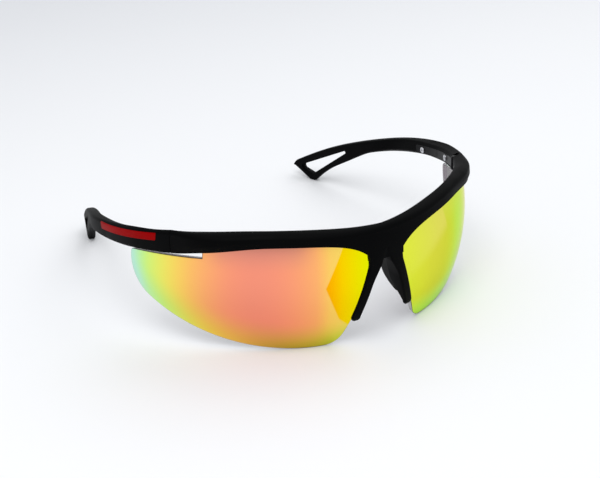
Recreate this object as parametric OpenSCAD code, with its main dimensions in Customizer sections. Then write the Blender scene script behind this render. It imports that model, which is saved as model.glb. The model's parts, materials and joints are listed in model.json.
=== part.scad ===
// Wraparound sports sunglasses with a half frame, folding temples and open temple ends.
// All sizes are in millimetres. X points to the wearer's left, the lenses face -Y and Z is up.
// The glasses stand on their lens bottoms and temple toes at z = 0.
// Angles round the front are measured from the nose, about the vertical axis of the head.

/* [Lenses] */
// Radius of the outer face of both lenses
lens_radius = 74.7; // [72:0.1:78]
// Distance of the lenses' common centre of curvature behind the head's axis
lens_back = 4.5; // [3:0.1:6]
// Height of the centre of curvature
lens_centre_z = 26.4; // [25:0.1:28]
// Thickness of the lenses
lens_thick = 1.9; // [1.6:0.1:2.2]
// Depth to which a lens sits in its groove
lens_seat = 1.5; // [1.2:0.1:1.8]
// Clearance round a lens in its groove
lens_gap = 0.12; // [0.08:0.01:0.2]
// Radius of the lower edge of a lens
belly_radius = 260; // [230:5:300]
// Reach of a lens from its middle towards the temple
lens_reach = 47; // [45.5:0.1:47.5]
// Radius of the lower outer corner of a lens
outer_corner = 17.2; // [15:0.2:19]
// Radius of the lower inner corner of a lens
inner_corner = 9.6; // [8:0.2:12]

/* [Brow] */
// Highest point of the brow's lower edge
brow_under_z = 42.4; // [41.5:0.1:43]
// Mean height of the brow's upper edge
brow_top_z = 46.5; // [45.5:0.1:48]
// Rise and fall of the upper edge about its mean
brow_swell = 1; // [0.4:0.1:1.4]
// Largest depth of the brow's rear face behind the face of the lens, measured at the nose
brow_depth = 5.8; // [5.2:0.1:6.4]
// How far the brow stands proud of the lens
brow_lip = 0.9; // [0.8:0.05:1.2]
// How far the ends of the brow stand proud of the lens
brow_end_lip = 3; // [2.4:0.1:3.2]
// Height of the rounded front edge on top of the brow
brow_roll = 2.4; // [1.6:0.1:3]
// Angle from the nose to the temple joint
seam_angle = 64.5; // [62:0.5:66]
// Angle from the nose to the inner end of the vent over the lens
vent_angle = 54.7; // [53:0.1:56]
// Height of the vent at its inner end
vent_height = 2.4; // [2:0.1:2.8]

/* [Nose] */
// Height of the arch between the nose legs
arch_z = 33.4; // [32.6:0.1:34]
// Angle from the middle to the outer edge of the bridge
bridge_angle = 5.9; // [5.7:0.1:6.1]
// Width of a nose leg
leg_w = 3.5; // [3.3:0.1:4]
// Extra width of a nose leg at its root
leg_flare = 2; // [1.4:0.1:2.6]
// Distance of a leg's outer edge from the middle plane at the root
leg_root_out = 7.6; // [7.4:0.1:7.8]
// Distance of a leg's outer edge from the middle plane at the tip
leg_tip_out = 14.3; // [13.8:0.1:14.8]
// Height of the rounded end of a leg
leg_end_z = 9.9; // [9.6:0.1:11]
// Depth of a nose leg at its tip
leg_depth = 3.6; // [3.5:0.1:4]
// Extra depth of a nose leg at its root
leg_deepening = 1.9; // [1.5:0.1:2.2]
// How far a nose pad reaches behind its leg
pad_reach = 6; // [5:0.1:7]
// Thickness of a nose pad at its free edge
pad_thick = 2.4; // [2:0.1:3]
// Outward splay of the nose pads
pad_splay = 8; // [4:1:14]
// Width of the peg that holds a nose pad
pad_peg_w = 1.4; // [1.2:0.1:1.8]

/* [Temples] */
// Length of a temple along its outer face
temple_length = 118; // [114:1:124]
// Radius of the outer face of a temple in plan
temple_radius = 78; // [74:1:82]
// Outward turn of a temple from the end of the brow
temple_splay = 3.8; // [2:0.2:5]
// Inward slope of the straight rear part of a temple
temple_bend = 16.6; // [15:0.2:18]
// Thickness of a temple at the joint
temple_thick = 4.2; // [4:0.1:4.5]
// Thickness of a temple at its tip
tip_thick = 3.2; // [2.8:0.1:3.6]
// Step from the end of the brow down to the top edge of a temple
temple_step = 0.4; // [0.2:0.1:0.6]
// Step from the end of the brow up to the lower edge of a temple
temple_lift = 0.1; // [0:0.1:0.4]
// Steady fall of a temple per millimetre of its length
temple_fall = 0.195; // [0.18:0.005:0.21]
// Steady fall of its lower edge per millimetre of its length
heel_fall = 0.173; // [0.16:0.001:0.18]
// Height of a temple's top edge at its tip
tip_top_z = 7; // [6:0.2:9]
// Length of the forked end, up to the tip
fork_length = 58; // [54:1:62]
// Distance from the tip back to the toe that stands on the table
toe_from_tip = 14.4; // [13:0.2:16]
// Length of the toe
toe_flat = 2.6; // [2:0.2:3.2]
// Radius of the corners of a temple's section
temple_round = 1.1; // [0.8:0.1:1.4]
// Width of the forked end's upper bar
fork_bar = 2.9; // [2.6:0.1:3.4]
// Gap between a temple and the brow
joint_gap = 0.2; // [0.15:0.05:0.3]

/* [Hinges] */
// Radius of the hinge barrels
barrel_r = 1.6; // [1.5:0.05:1.7]
// Height of each knuckle
knuckle_h = 1.6; // [1.4:0.1:1.8]
// Gap between two knuckles
knuckle_gap = 0.06; // [0.04:0.01:0.1]
// Distance of the hinge axis from the inner face of the frame
axis_inset = 1; // [0.8:0.1:1.1]
// Thickness of the hinge leaves
leaf_thick = 0.8; // [0.6:0.1:0.9]
// Height of the hinge leaves
leaf_h = 3.4; // [3:0.1:4]
// Length of the leaf in the brow
front_leaf_l = 7.5; // [7:0.5:8.5]
// Length of the leaf in the temple
temple_leaf_l = 39; // [37:0.5:42]
// Diameter of the hinge pin screw
pin_d = 1.4; // [1.2:0.1:1.6]
// Radial running clearance of the hinge pin screw
pin_gap = 0.04; // [0.02:0.01:0.06]
// Diameter of the leaf screws
screw_d = 1.4; // [1.2:0.1:1.6]
// Diameter of the screw heads
head_d = 2.6; // [2.4:0.1:2.8]
// Height of the screw heads
head_h = 0.5; // [0.4:0.05:0.6]
// Distance from the joint to the first screw in a temple
screw_1_at = 12.2; // [11:0.2:14]
// Distance from the joint to the second screw in a temple
screw_2_at = 35; // [33:0.5:36]
// Clearance round inlaid pieces
inlay_gap = 0.06; // [0.04:0.01:0.1]

/* [Accent strips] */
// Distance from the joint to the front end of a strip
strip_at = 6.4; // [5:0.2:8]
// Length of a strip
strip_l = 35.2; // [30:0.2:38]
// Height of a strip
strip_h = 2.9; // [2.4:0.1:3.2]
// Thickness of a strip
strip_thick = 0.6; // [0.4:0.05:0.7]
// Distance of a strip's centre line below the top of the temple
strip_below_top = 2.3; // [2.1:0.1:2.6]

/* [Hidden] */

right = -1;
left = 1;
sliver = 0.01;
round_fn = 32;
sphere_fn = 144;

frame_black = [0.09, 0.09, 0.1];
pad_grey = [0.2, 0.2, 0.21];
lens_fire = [0.95, 0.55, 0.3];
steel = [0.75, 0.75, 0.77];
leaf_black = [0.15, 0.15, 0.16];
strip_red = [0.75, 0.02, 0.04];

// Brow: where its lower edge peaks, how it falls away and how it turns down into the nose legs
under_peak_angle = 29;
under_fall = 0.0046;
under_turn = 4.4;
under_turn_angle = 3.6;
under_line_from = 22.4;
under_slope = 0.5;
crown_turns_from = 40;
crown_slope = 1;
end_roll = 1.5;
top_peak_angle = 38;
top_half_wave = 40;
inner_low_angle = 20;
inner_rise = 0.1;
inner_blend = 8;
brow_inner_r = lens_radius - lens_back - brow_depth;
lip_grows_from = 35;
rear_round = 0.9;
bottom_round = 0.6;

// Lens outline, drawn on the plane that touches the lens at its middle
lens_aim = 45;
belly_inner_p = -34;
belly_outer = [33.5, -12.4];
free_fall = 3.9;
free_r = 900;
top_inner_corner = 5;
top_outer_corner = 2.4;

// Distance from the head's axis to the face of a lens grown by "grow", at angle a and height z
function lens_r(a, z, grow) =
    sqrt(pow(lens_radius + grow, 2) - pow(z - lens_centre_z, 2) - pow(lens_back * sin(a), 2)) - lens_back * cos(a);

function smooth(t) = let (c = min(1, max(0, t))) c * c * (3 - 2 * c);
function polar(a, r, z) = [r * sin(a), -r * cos(a), z];

// Edges and faces of the brow at angle a
function brow_under(a) = abs(a) < bridge_angle ? arch_z :
    let (off = abs(a) - under_peak_angle, bent = min(off, under_line_from))
    brow_under_z - under_fall * (bent * bent + 2 * under_line_from * max(0, off - under_line_from))
    - under_turn * exp(-(abs(a) - bridge_angle) / under_turn_angle);
function brow_top(a) = brow_top_z + brow_swell * cos(180 * (abs(a) - top_peak_angle) / top_half_wave);
function brow_end(a) = smooth((abs(a) - crown_turns_from) / (seam_angle - crown_turns_from));
function brow_in(a) = brow_inner_r
    + inner_rise * (sqrt(pow(abs(a) - inner_low_angle, 2) + pow(inner_blend, 2)) - inner_blend);
function brow_proud(a) = brow_lip
    + (brow_end_lip - brow_lip) * smooth((abs(a) - lip_grows_from) / (seam_angle - lip_grows_from));

// Outline of the brow in the upright plane at angle a, as points in space
function brow_ring(a) =
    let (
        zb = brow_under(a), zt = brow_top(a), ri = brow_in(a), lip = brow_proud(a), end = brow_end(a),
        roll_h = brow_roll + (end_roll - brow_roll) * end,
        zf = zt - roll_h,
        ro = lens_r(a, zf, lip),
        roll = (ro - ri - rear_round) + (end_roll - (ro - ri - rear_round)) * end,
        zr = zt - crown_slope * end,
        zu = zb + under_slope * end,
        front = [for (k = [0:4]) let (z = zb + (zf - zb) * k / 5) [lens_r(a, z, lip) * (1 - end) + end * seam_out, z]],
        crown = [for (t = [0:15:90]) [ro * (1 - end) + end * seam_out - roll + roll * cos(t), zf + roll_h * sin(t)]],
        rear = [for (t = [120:30:180]) [ri + rear_round + rear_round * cos(t), zr - rear_round + rear_round * sin(t)]],
        foot = [for (t = [180:30:270]) [ri + bottom_round + bottom_round * cos(t), zu + bottom_round + bottom_round * sin(t)]]
    )
    [for (p = concat(front, crown, rear, foot)) polar(a, p[0], p[1])];

// Angles at which the brow is drawn on one side, closer together where it turns into the nose leg
brow_steps = concat([0, 2, 4, bridge_angle - 0.05],
    [for (k = [0:7]) bridge_angle + 0.05 + 0.18 * k * k],
    [for (k = [1:14]) let (from = bridge_angle + 9) from + (seam_angle - from) * k / 14]);
brow_angles = concat([for (k = [len(brow_steps) - 1:-1:1]) -brow_steps[k]], brow_steps);

// Nose legs: w wide at height z, with the outer edge at leg_out
leg_root_z = 31.4;
leg_tip_z = leg_end_z + leg_w / 2;
leg_round = 0.8;
leg_flare_from = 24;
leg_flare_h = 9;
function leg_along(z) = min(1, max(0, (leg_root_z - z) / (leg_root_z - leg_tip_z)));
function leg_out(z) = leg_root_out - 0.06 * max(0, z - leg_root_z) + (leg_tip_out - leg_root_out) * leg_along(z) - 0.6 * leg_along(z) * (1 - leg_along(z));
function leg_wide(z) = z >= leg_tip_z ? leg_w + leg_flare * pow(max(0, z - leg_flare_from) / leg_flare_h, 1.5)
    : 2 * sqrt(pow(leg_w / 2, 2) - pow(leg_tip_z - z, 2));
function leg_deep(z) = leg_depth + leg_deepening * smooth((z - leg_tip_z) / (leg_root_z - leg_tip_z));
function leg_x(z) = leg_out(z) - (z >= leg_tip_z ? leg_wide(z) : leg_w) / 2;
function leg_lip(z) = brow_lip - (z >= leg_tip_z ? 0 : leg_round - sqrt(max(0, pow(leg_round, 2)
    - pow(leg_round * (leg_tip_z - z) / (leg_tip_z - leg_end_z), 2))));
leg_steps = concat([for (k = [-2:7]) leg_root_z + (leg_tip_z - leg_root_z) * k / 7],
    [for (t = [25, 50, 70, 84]) leg_tip_z - leg_w / 2 * sin(t)]);
function leg_angle(z) = asin(leg_x(z) / lens_radius);

// Place in space of a point at height z, across and rearwards from the middle of a leg's front face
function leg_point(z, p) =
    let (a = leg_angle(z), y = p[1] - lens_r(a, z, brow_lip))
    [p[0] * cos(a) - y * sin(a), p[0] * sin(a) + y * cos(a), z];

// Points of a rectangle with rounded corners, from x0 to x1 and from y0 to y1
function rounded_ring(x0, x1, y0, y1, r, step) =
    [for (c = [[x1 - r, y1 - r, 0], [x0 + r, y1 - r, 90], [x0 + r, y0 + r, 180], [x1 - r, y0 + r, 270]])
        for (t = [0:step:90]) [c[0] + r * cos(c[2] + t), c[1] + r * sin(c[2] + t)]];
function leg_ring(z) =
    let (w = leg_wide(z), sink = brow_lip - leg_lip(z), r = min(leg_round, w / 2 - 0.03))
    [for (p = rounded_ring(-w / 2, w / 2, sink, leg_deep(z) - sink * 0.5, r, 30)) leg_point(z, p)];

// Nose pads
pad_top_z = leg_root_z + 0.2;
pad_low_z = leg_end_z + 4;
pad_mid_z = (pad_top_z + pad_low_z) / 2;
pad_half = (pad_top_z - pad_low_z) / 2;
pad_peg_l = 1.4;
pad_peg_h = 4;
pad_root = 1;
pad_shift = 0.7;
pad_steps = [for (t = [80:-16:-80]) pad_mid_z + pad_half * sin(t)];
function pad_out(z) = 0.8 + (pad_reach - 0.8) * sqrt(max(0, 1 - pow((z - pad_mid_z) / (pad_half * 1.02), 2)));
function pad_ring(z) =
    let (half = leg_wide(z) / 2 - leg_round, r = pad_thick / 2, reach = pad_root + pad_out(z) - r,
        c = [reach * sin(pad_splay) - pad_shift, leg_deep(z) - pad_root + reach * cos(pad_splay)])
    concat([for (x = [-half, half]) leg_point(z, [x, leg_deep(z) - pad_root])],
        [for (t = [-pad_splay - 10:25:190 - pad_splay]) leg_point(z, c + r * [cos(t), sin(t)])]);

// Temple joint and hinge
seam_in = brow_in(seam_angle);
seam_out = seam_in + temple_thick;
hinge_r = seam_in + axis_inset;
temple_top_z = brow_top(seam_angle) - temple_step;
temple_under_z = brow_under(seam_angle) + temple_lift;
hinge_z = (temple_top_z + temple_under_z) / 2 - 0.3;
hinge_h = 3 * knuckle_h + 2 * knuckle_gap;
barrel_room = 0.3;
leaf_corner = 0.6;
fold_room = axis_inset * sqrt(2) + 0.25;

// Plan of the left temple: an arc about temple_centre, then a straight line
arc_from = seam_angle - temple_splay;
temple_centre = [seam_out * sin(seam_angle) - temple_radius * sin(arc_from),
    -seam_out * cos(seam_angle) + temple_radius * cos(arc_from)];
arc_to = 90 + temple_bend;
arc_length = (arc_to - arc_from) * PI / 180 * temple_radius;
function arc_angle(u) = arc_from + u / temple_radius * 180 / PI;
function temple_turn(u) = u < arc_length ? arc_angle(u) : arc_to;
function temple_at(u, inset) =
    let (b = temple_turn(u), run = max(0, u - arc_length), r = temple_radius - inset)
    [temple_centre[0] + r * sin(b) + run * cos(b), temple_centre[1] - r * cos(b) + run * sin(b)];

function temple_w(u) = temple_thick + (tip_thick - temple_thick) * smooth((u - fork_start) / (temple_length - fork_start));
fork_start = temple_length - fork_length;
toe_at = temple_length - toe_from_tip;
tip_drop = temple_top_z - temple_fall * temple_length - tip_top_z;
function temple_top(u) = temple_top_z - temple_fall * u - tip_drop * pow(u / temple_length, 3);
toe_line_rise = 0.5;
toe_drop = temple_under_z - heel_fall * toe_at;
toe_round = 1.2;
function heel_line(u) = temple_under_z - heel_fall * u - toe_drop * pow(max(0, u) / toe_at, 5);
function end_line(u) = (u - toe_at - toe_flat) * toe_line_rise;
function temple_under(u) = let (h = heel_line(u), e = end_line(u))
    max(0, (h + e + sqrt(pow(h - e, 2) + toe_round * toe_round)) / 2);

// Ring of the left temple's section at distance u from the joint
lean_until = 26;
inner_rise_z = 1.1;
tip_round = 2.6;
function tip_cut(u) = let (d = max(0, u - (temple_length - tip_round)))
    tip_round - sqrt(max(0, tip_round * tip_round - d * d));
function temple_ring(u) =
    let (
        b = temple_turn(u), w = temple_w(u), zb = temple_under(u), zt = max(zb + 1, temple_top(u) - tip_cut(u)),
        h = (zt - zb) / 2 - 0.02,
        lean = 1 - smooth((u - lean_until) / lean_until), rise = 1 - smooth((u - fork_start + 5) / 30),
        r = min(temple_round, h), rt = min(temple_round + (end_roll - temple_round) * lean, h),
        zi = zt - crown_slope * lean, zu = zb + (under_slope + (inner_rise_z - under_slope) * smooth(u / 15)) * rise,
        p = temple_at(u, 0),
        corners = [[rt, zt - rt, 0, rt], [w - r, zi - r, 90, r], [w - r, zu + r, 180, r], [r, zb + r, 270, r]]
    )
    [for (c = corners) for (t = [0:30:90])
        let (inset = c[0] - c[3] * cos(c[2] + t), z = c[1] + c[3] * sin(c[2] + t))
        [p[0] - inset * sin(b), p[1] + inset * cos(b), z]];
temple_steps = concat([for (k = [-1:14]) fork_start * k / 14],
    [for (k = [1:19]) fork_start + (temple_length - tip_round - fork_start) * k / 19],
    [for (t = [30:30:90]) temple_length - tip_round + tip_round * sin(t) * 0.98]);

// Cut-out of the forked end, as corner circles [distance from the joint, height, radius]
window_front_u = fork_start + 24.6;
window_rear_u = toe_at + 7.6;
window_low_u = toe_at + 2.8;
window_corners = [
    [window_front_u, temple_top(window_front_u) - fork_bar - 0.7, 0.8],
    [window_rear_u, temple_top(window_rear_u) - fork_bar - 2.2, 1.3],
    [window_low_u, temple_under(window_low_u) + 4.7, 1.5]];

// The glasses' own origin is under the middle of their footprint
front_reach = max([for (z = leg_steps) (leg_wide(z) / 2 - min(leg_round, leg_wide(z) / 2 - 0.03)) * sin(leg_angle(z))
    + lens_r(leg_angle(z), z, leg_lip(z)) * cos(leg_angle(z))]);
rear_reach = temple_at(temple_steps[len(temple_steps) - 1], 0)[1];
origin_y = (front_reach - rear_reach) / 2;

// Solid through a list of rings that all have the same number of points
module loft(rings) {
    n = len(rings[0]);
    last = len(rings) - 1;
    polyhedron(
        points = [for (ring = rings) each ring],
        faces = concat(
            [[for (i = [n - 1:-1:0]) i]],
            [for (k = [0:last - 1]) for (i = [0:n - 1])
                let (j = (i + 1) % n) [k * n + i, k * n + j, (k + 1) * n + j, (k + 1) * n + i]],
            [[for (i = [0:n - 1]) last * n + i]]));
}

module sided(side) {
    translate([0, origin_y, 0]) mirror([side < 0 ? 1 : 0, 0, 0]) children();
}

// Frame at the temple joint: x outwards, y rearwards along the brow, origin on the hinge axis
module at_hinge() {
    rotate([0, 0, seam_angle - 90]) translate([hinge_r, 0, hinge_z]) children();
}

// Frame on the temple's arc at distance u: x outwards, origin on the outer face at height z
module at_temple(u, z) {
    translate([temple_centre[0], temple_centre[1], z])
        rotate([0, 0, arc_angle(u) - 90]) translate([temple_radius, 0, 0]) children();
}

// Meeting point of two circles, on the left of the way from the first centre to the second
function circles_meet(a, ra, b, rb) =
    let (d = norm(b - a), u = (b - a) / d, along = (ra * ra - rb * rb + d * d) / (2 * d),
        side = sqrt(max(0, ra * ra - along * along)))
    a + u * along + [-u[1], u[0]] * side;
function fillet_at(from, to, r) =
    circles_meet([from[0], from[1]], from[2] - r, [to[0], to[1]], to[2] - r);
function bearing(from, to) = atan2(to[1] - from[1], to[0] - from[0]);
function arc_points(c, r, from, to, n) = [for (k = [0:n - 1])
    [c[0] + r * cos(from + (to - from) * k / n), c[1] + r * sin(from + (to - from) * k / n)]];
function arc_height(arc, s) = arc[1] + sqrt(arc[2] * arc[2] - pow(s - arc[0], 2));
function centre_of(arc) = [arc[0], arc[1]];

// Circle through three points, as [centre x, centre y, radius]
function circle_through(a, b, c) =
    let (d = 2 * (a[0] * (b[1] - c[1]) + b[0] * (c[1] - a[1]) + c[0] * (a[1] - b[1])),
        x = (a * a * (b[1] - c[1]) + b * b * (c[1] - a[1]) + c * c * (a[1] - b[1])) / d,
        y = (a * a * (c[0] - b[0]) + b * b * (a[0] - c[0]) + c * c * (b[0] - a[0])) / d)
    [x, y, norm(a - [x, y])];

// Circle of radius r through two points, with its centre on the left of the way from a to b
function circle_over(a, b, r) =
    let (d = norm(b - a), u = (b - a) / d, o = (a + b) / 2 + [-u[1], u[0]] * sqrt(r * r - d * d / 4)) [o[0], o[1], r];

// Point of the lens's face at angle a and height z, seen from the centre of curvature, on the drawing plane
function drawn(a, z) =
    let (r = lens_r(a, z, 0), x = r * sin(a), y = r * cos(a) + lens_back,
        n = x * sin(lens_aim) + y * cos(lens_aim))
    [lens_radius * (x * cos(lens_aim) - y * sin(lens_aim)) / n, lens_radius * (z - lens_centre_z) / n];
function drawn_by_leg(z) = drawn(asin((leg_out(z) - lens_seat) / lens_r(0, z, 0)), z);
function drawn_under_brow(a) = drawn(a, brow_under(a) + lens_seat);

floor_q = -lens_centre_z * sqrt((lens_radius * lens_radius + belly_inner_p * belly_inner_p)
    / (lens_radius * lens_radius - lens_centre_z * lens_centre_z));
belly_arc = circle_over([belly_inner_p, floor_q], belly_outer, belly_radius);
outer_p = lens_reach - outer_corner;
outer_arc = [outer_p, belly_arc[1] - sqrt(pow(belly_radius - outer_corner, 2) - pow(outer_p - belly_arc[0], 2)), outer_corner];
inner_arc = circle_through(drawn_by_leg(12), drawn_by_leg(22), drawn_by_leg(31));
crest_arc = circle_through(drawn_under_brow(12), drawn_under_brow(30), drawn_under_brow(vent_angle));
vent_point = drawn(vent_angle, brow_under(vent_angle) - vent_height);
free_arc = [vent_point[0] - free_r * sin(free_fall), vent_point[1] - free_r * cos(free_fall), free_r];

// Outline of a lens, anticlockwise from the top outer corner, grown all round by "grow"
function lens_outline(grow) =
    let (
        top_out = fillet_at(outer_arc, free_arc, top_outer_corner),
        top_in = fillet_at(crest_arc, inner_arc, top_inner_corner),
        low_in = fillet_at(inner_arc, belly_arc, inner_corner),
        co = centre_of(outer_arc), cf = centre_of(free_arc), cc = centre_of(crest_arc),
        ci = centre_of(inner_arc), cb = centre_of(belly_arc),
        step_free = asin((vent_point[0] + grow - cf[0]) / (free_r + grow)),
        step_crest = asin((vent_point[0] + grow - cc[0]) / (crest_arc[2] + grow)),
        inner_from = bearing(ci, top_in), inner_to = bearing(ci, low_in)
    )
    concat(
        arc_points(top_out, top_outer_corner + grow, bearing(co, top_out), bearing(cf, top_out), 5),
        arc_points(cf, free_r + grow, bearing(cf, top_out), 90 - step_free, 3),
        [vent_point + [grow, free_arc[1] + (free_r + grow) * cos(step_free) - vent_point[1]]],
        arc_points(cc, crest_arc[2] + grow, 90 - step_crest, bearing(cc, top_in), 10),
        arc_points(top_in, top_inner_corner + grow, bearing(cc, top_in), inner_from < 0 ? inner_from + 360 : inner_from, 5),
        arc_points(ci, inner_arc[2] + grow, inner_from < 0 ? inner_from + 360 : inner_from,
            inner_to < 0 ? inner_to + 360 : inner_to, 6),
        arc_points(low_in, inner_corner + grow, inner_to, bearing(cb, low_in), 8),
        arc_points(cb, belly_radius + grow, bearing(cb, low_in), bearing(cb, co), 14),
        arc_points(co, outer_arc[2] + grow, bearing(cb, co), bearing(co, top_out), 10));

// Left lens, grown all round by "grow": part of a shell, cut from its centre of curvature along the outline
module lens_solid(grow) {
    near = lens_radius * 0.5;
    far = lens_radius * 1.06;
    translate([0, lens_back, lens_centre_z]) intersection() {
        difference() {
            sphere(r = lens_radius + grow, $fn = sphere_fn);
            sphere(r = lens_radius - lens_thick - grow, $fn = sphere_fn);
        }
        rotate([0, 0, lens_aim - 90]) rotate([90, 0, 90]) translate([0, 0, near])
            linear_extrude(height = far - near, scale = far / near) scale(near / lens_radius)
            polygon(lens_outline(grow));
    }
}

module lens(side) {
    color(lens_fire) sided(side) lens_solid(0);
}

module leg() {
    loft([for (z = leg_steps) leg_ring(z)]);
}

module at_leg(z) {
    rotate([0, 0, leg_angle(z)]) translate([0, -lens_r(leg_angle(z), z, brow_lip), z]) children();
}

// Flat peg that holds a nose pad in its leg, grown by "grow"
module pad_peg(grow, behind) {
    at_leg(pad_mid_z) translate([0, leg_deep(pad_mid_z) - pad_peg_l - grow, 0]) rotate([-90, 0, 0])
        hull() for (y = [-1, 1]) translate([0, y * pad_peg_h / 2, 0])
            cylinder(h = pad_peg_l + grow + behind, d = pad_peg_w + 2 * grow, $fn = 24);
}

module front_frame() {
    color(frame_black) difference() {
        union() {
            translate([0, origin_y, 0]) loft([for (a = brow_angles) brow_ring(a)]);
            for (side = [right, left]) sided(side) leg();
        }
        for (side = [right, left]) sided(side) {
            lens_solid(lens_gap);
            pad_peg(inlay_gap, 1);
            barrel_recess();
            front_leaf_pocket();
            front_screw_shape(inlay_gap);
        }
    }
}

module nose_pad(side) {
    color(pad_grey) sided(side) {
        difference() {
            loft([for (z = pad_steps) pad_ring(z)]);
            leg();
            lens_solid(lens_gap);
        }
        pad_peg(0, 0.5);
    }
}

// Knuckle of a hinge, from height z0 to z1 about the hinge's middle
module knuckle(z0, z1) {
    translate([0, 0, z0]) difference() {
        cylinder(h = z1 - z0, r = barrel_r, $fn = round_fn);
        translate([0, 0, -1]) cylinder(h = z1 - z0 + 2, d = pin_d + 2 * pin_gap, $fn = round_fn);
    }
}

// Recess for the barrel and groove for the swinging edge, both open towards the head
module open_recess(h, r, lift) {
    hull() for (x = [0, -2 * axis_inset]) translate([x, 0, lift]) cylinder(h = h, r = r, center = true, $fn = round_fn);
}

module barrel_recess() {
    at_hinge() {
        open_recess(hinge_h + 2 * barrel_room + head_h, barrel_r + barrel_room, head_h / 2);
        open_recess(3 * hinge_h, fold_room, 0);
    }
}

// Pocket for the front leaf, with rounded ends
module front_leaf_pocket() {
    r = leaf_corner + inlay_gap;
    at_hinge() translate([-axis_inset - 1, 0, 0]) hull()
        for (y = [-front_leaf_l + leaf_corner, 0]) for (z = [-1, 1]) translate([0, y, z * (leaf_h / 2 - leaf_corner)])
            rotate([0, 90, 0]) cylinder(h = 1 + leaf_thick + inlay_gap, r = r, $fn = round_fn);
}

module front_leaf_plate() {
    translate([-axis_inset, -front_leaf_l / 2, 0]) rotate([90, 0, 90]) linear_extrude(height = leaf_thick)
        rounded_bar(front_leaf_l, leaf_h, leaf_corner);
}

// Screw with its head at x = 0 and its shank running outwards
module leaf_screw(length, grow) {
    rotate([0, 90, 0]) {
        translate([0, 0, -head_h]) cylinder(h = head_h, d = head_d, $fn = round_fn);
        translate([0, 0, -sliver]) cylinder(h = length + sliver + grow, d = screw_d + 2 * grow, $fn = round_fn);
    }
}

screw_l = 2.4;
module front_screw_shape(grow) {
    at_hinge() translate([-axis_inset, -front_leaf_l + 2, 0]) leaf_screw(screw_l, grow);
}

module front_screw(side) {
    color(steel) sided(side) front_screw_shape(0);
}

module hinge_front(side) {
    color(leaf_black) sided(side) difference() {
        at_hinge() {
            knuckle(-hinge_h / 2, -hinge_h / 2 + knuckle_h);
            knuckle(hinge_h / 2 - knuckle_h, hinge_h / 2);
            difference() {
                front_leaf_plate();
                translate([0, 0, -hinge_h / 2]) cylinder(h = hinge_h, d = pin_d + 2 * pin_gap, $fn = round_fn);
                translate([0, 0, -knuckle_h / 2 - knuckle_gap]) cylinder(h = knuckle_h + 2 * knuckle_gap,
                    r = barrel_r + barrel_room, $fn = round_fn);
            }
        }
        front_screw_shape(0);
    }
}

// Screw that is the hinge's pin: its head is on top and its thread ends flush below
module hinge_pin(side) {
    color(steel) sided(side) at_hinge() {
        translate([0, 0, -hinge_h / 2]) cylinder(h = hinge_h, d = pin_d, $fn = round_fn);
        translate([0, 0, hinge_h / 2]) cylinder(h = head_h, d = head_d, $fn = round_fn);
    }
}

// Band along the temple's arc, from inset in0 to in1, sloped with the temple, height h about z0 - fall * u
module temple_band(in0, in1, u0, u1, z0, h, corner) {
    um = (u0 + u1) / 2;
    chord = 2 * temple_radius * sin((u1 - u0) / temple_radius * 90 / PI);
    intersection() {
        translate([temple_centre[0], temple_centre[1], 0]) rotate([0, 0, arc_angle(u0) - 90 - 5])
            rotate_extrude(angle = (u1 - u0) / temple_radius * 180 / PI + 10, $fn = 180)
            translate([temple_radius - in1, 0]) square([in1 - in0, temple_top_z + 10]);
        at_temple(um, z0 - temple_fall * um) rotate([-atan(temple_fall), 0, 0])
            rotate([90, 0, 90]) translate([0, 0, -temple_radius / 3]) linear_extrude(height = temple_radius / 2)
            rounded_bar(chord / cos(atan(temple_fall)), h, corner);
    }
}

module rounded_bar(l, h, r) {
    square([l - 2 * r, h], center = true);
    square([l, h - 2 * r], center = true);
    for (x = [-1, 1]) for (y = [-1, 1]) translate([x * (l / 2 - r), y * (h / 2 - r)]) circle(r = r, $fn = 24);
}

leaf_from = 1;
leaf_z = hinge_z;
module temple_leaf_band(grow) {
    temple_band(temple_thick - leaf_thick - grow, temple_thick + 3 * grow, leaf_from - grow, temple_leaf_l + grow,
        leaf_z, leaf_h + 2 * grow, 0.8);
}

module temple_screw_shapes(grow) {
    for (u = [screw_1_at, screw_2_at])
        at_temple(u, leaf_z - temple_fall * u) translate([-temple_thick, 0, 0]) leaf_screw(screw_l, grow);
}

module temple_screws(side) {
    color(steel) sided(side) temple_screw_shapes(0);
}

module hinge_temple(side) {
    color(leaf_black) sided(side) difference() {
        union() {
            difference() {
                temple_leaf_band(0);
                at_hinge() cylinder(h = 2 * hinge_h, r = barrel_r + barrel_room, center = true, $fn = round_fn);
            }
            at_hinge() {
                cylinder(h = knuckle_h, r = barrel_r, center = true, $fn = round_fn);
                translate([-axis_inset, 0, -knuckle_h / 2])
                    cube([leaf_thick, barrel_r + barrel_room + 1, knuckle_h]);
            }
        }
        at_hinge() translate([0, 0, -hinge_h]) cylinder(h = 2 * hinge_h, d = pin_d + 2 * pin_gap, $fn = round_fn);
        temple_screw_shapes(0);
    }
}

module strip_band(grow) {
    temple_band(-0.05 - 4 * grow, strip_thick + grow, strip_at - grow, strip_at + strip_l + grow,
        temple_top_z - strip_below_top, strip_h + 2 * grow, 0.5);
}

module accent_strip(side) {
    color(strip_red) sided(side) strip_band(0);
}

module temple(side) {
    color(frame_black) sided(side) difference() {
        loft([for (u = temple_steps) temple_ring(u)]);
        // Face that meets the end of the brow
        rotate([0, 0, seam_angle - 90]) translate([0, joint_gap - 20, 0]) cube([2 * temple_radius, 20, 2 * temple_top_z]);
        barrel_recess();
        temple_leaf_band(inlay_gap);
        temple_screw_shapes(inlay_gap);
        strip_band(inlay_gap);
        fork_window();
    }
}

module fork_window() {
    translate([temple_centre[0], temple_centre[1], 0]) rotate([0, 0, arc_to - 90])
        translate([temple_radius, 0, 0]) hull()
        for (c = window_corners) translate([-temple_thick - 1, c[0] - arc_length, c[1]])
            rotate([0, 90, 0]) cylinder(h = temple_thick + 2, r = c[2], $fn = round_fn);
}

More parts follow.
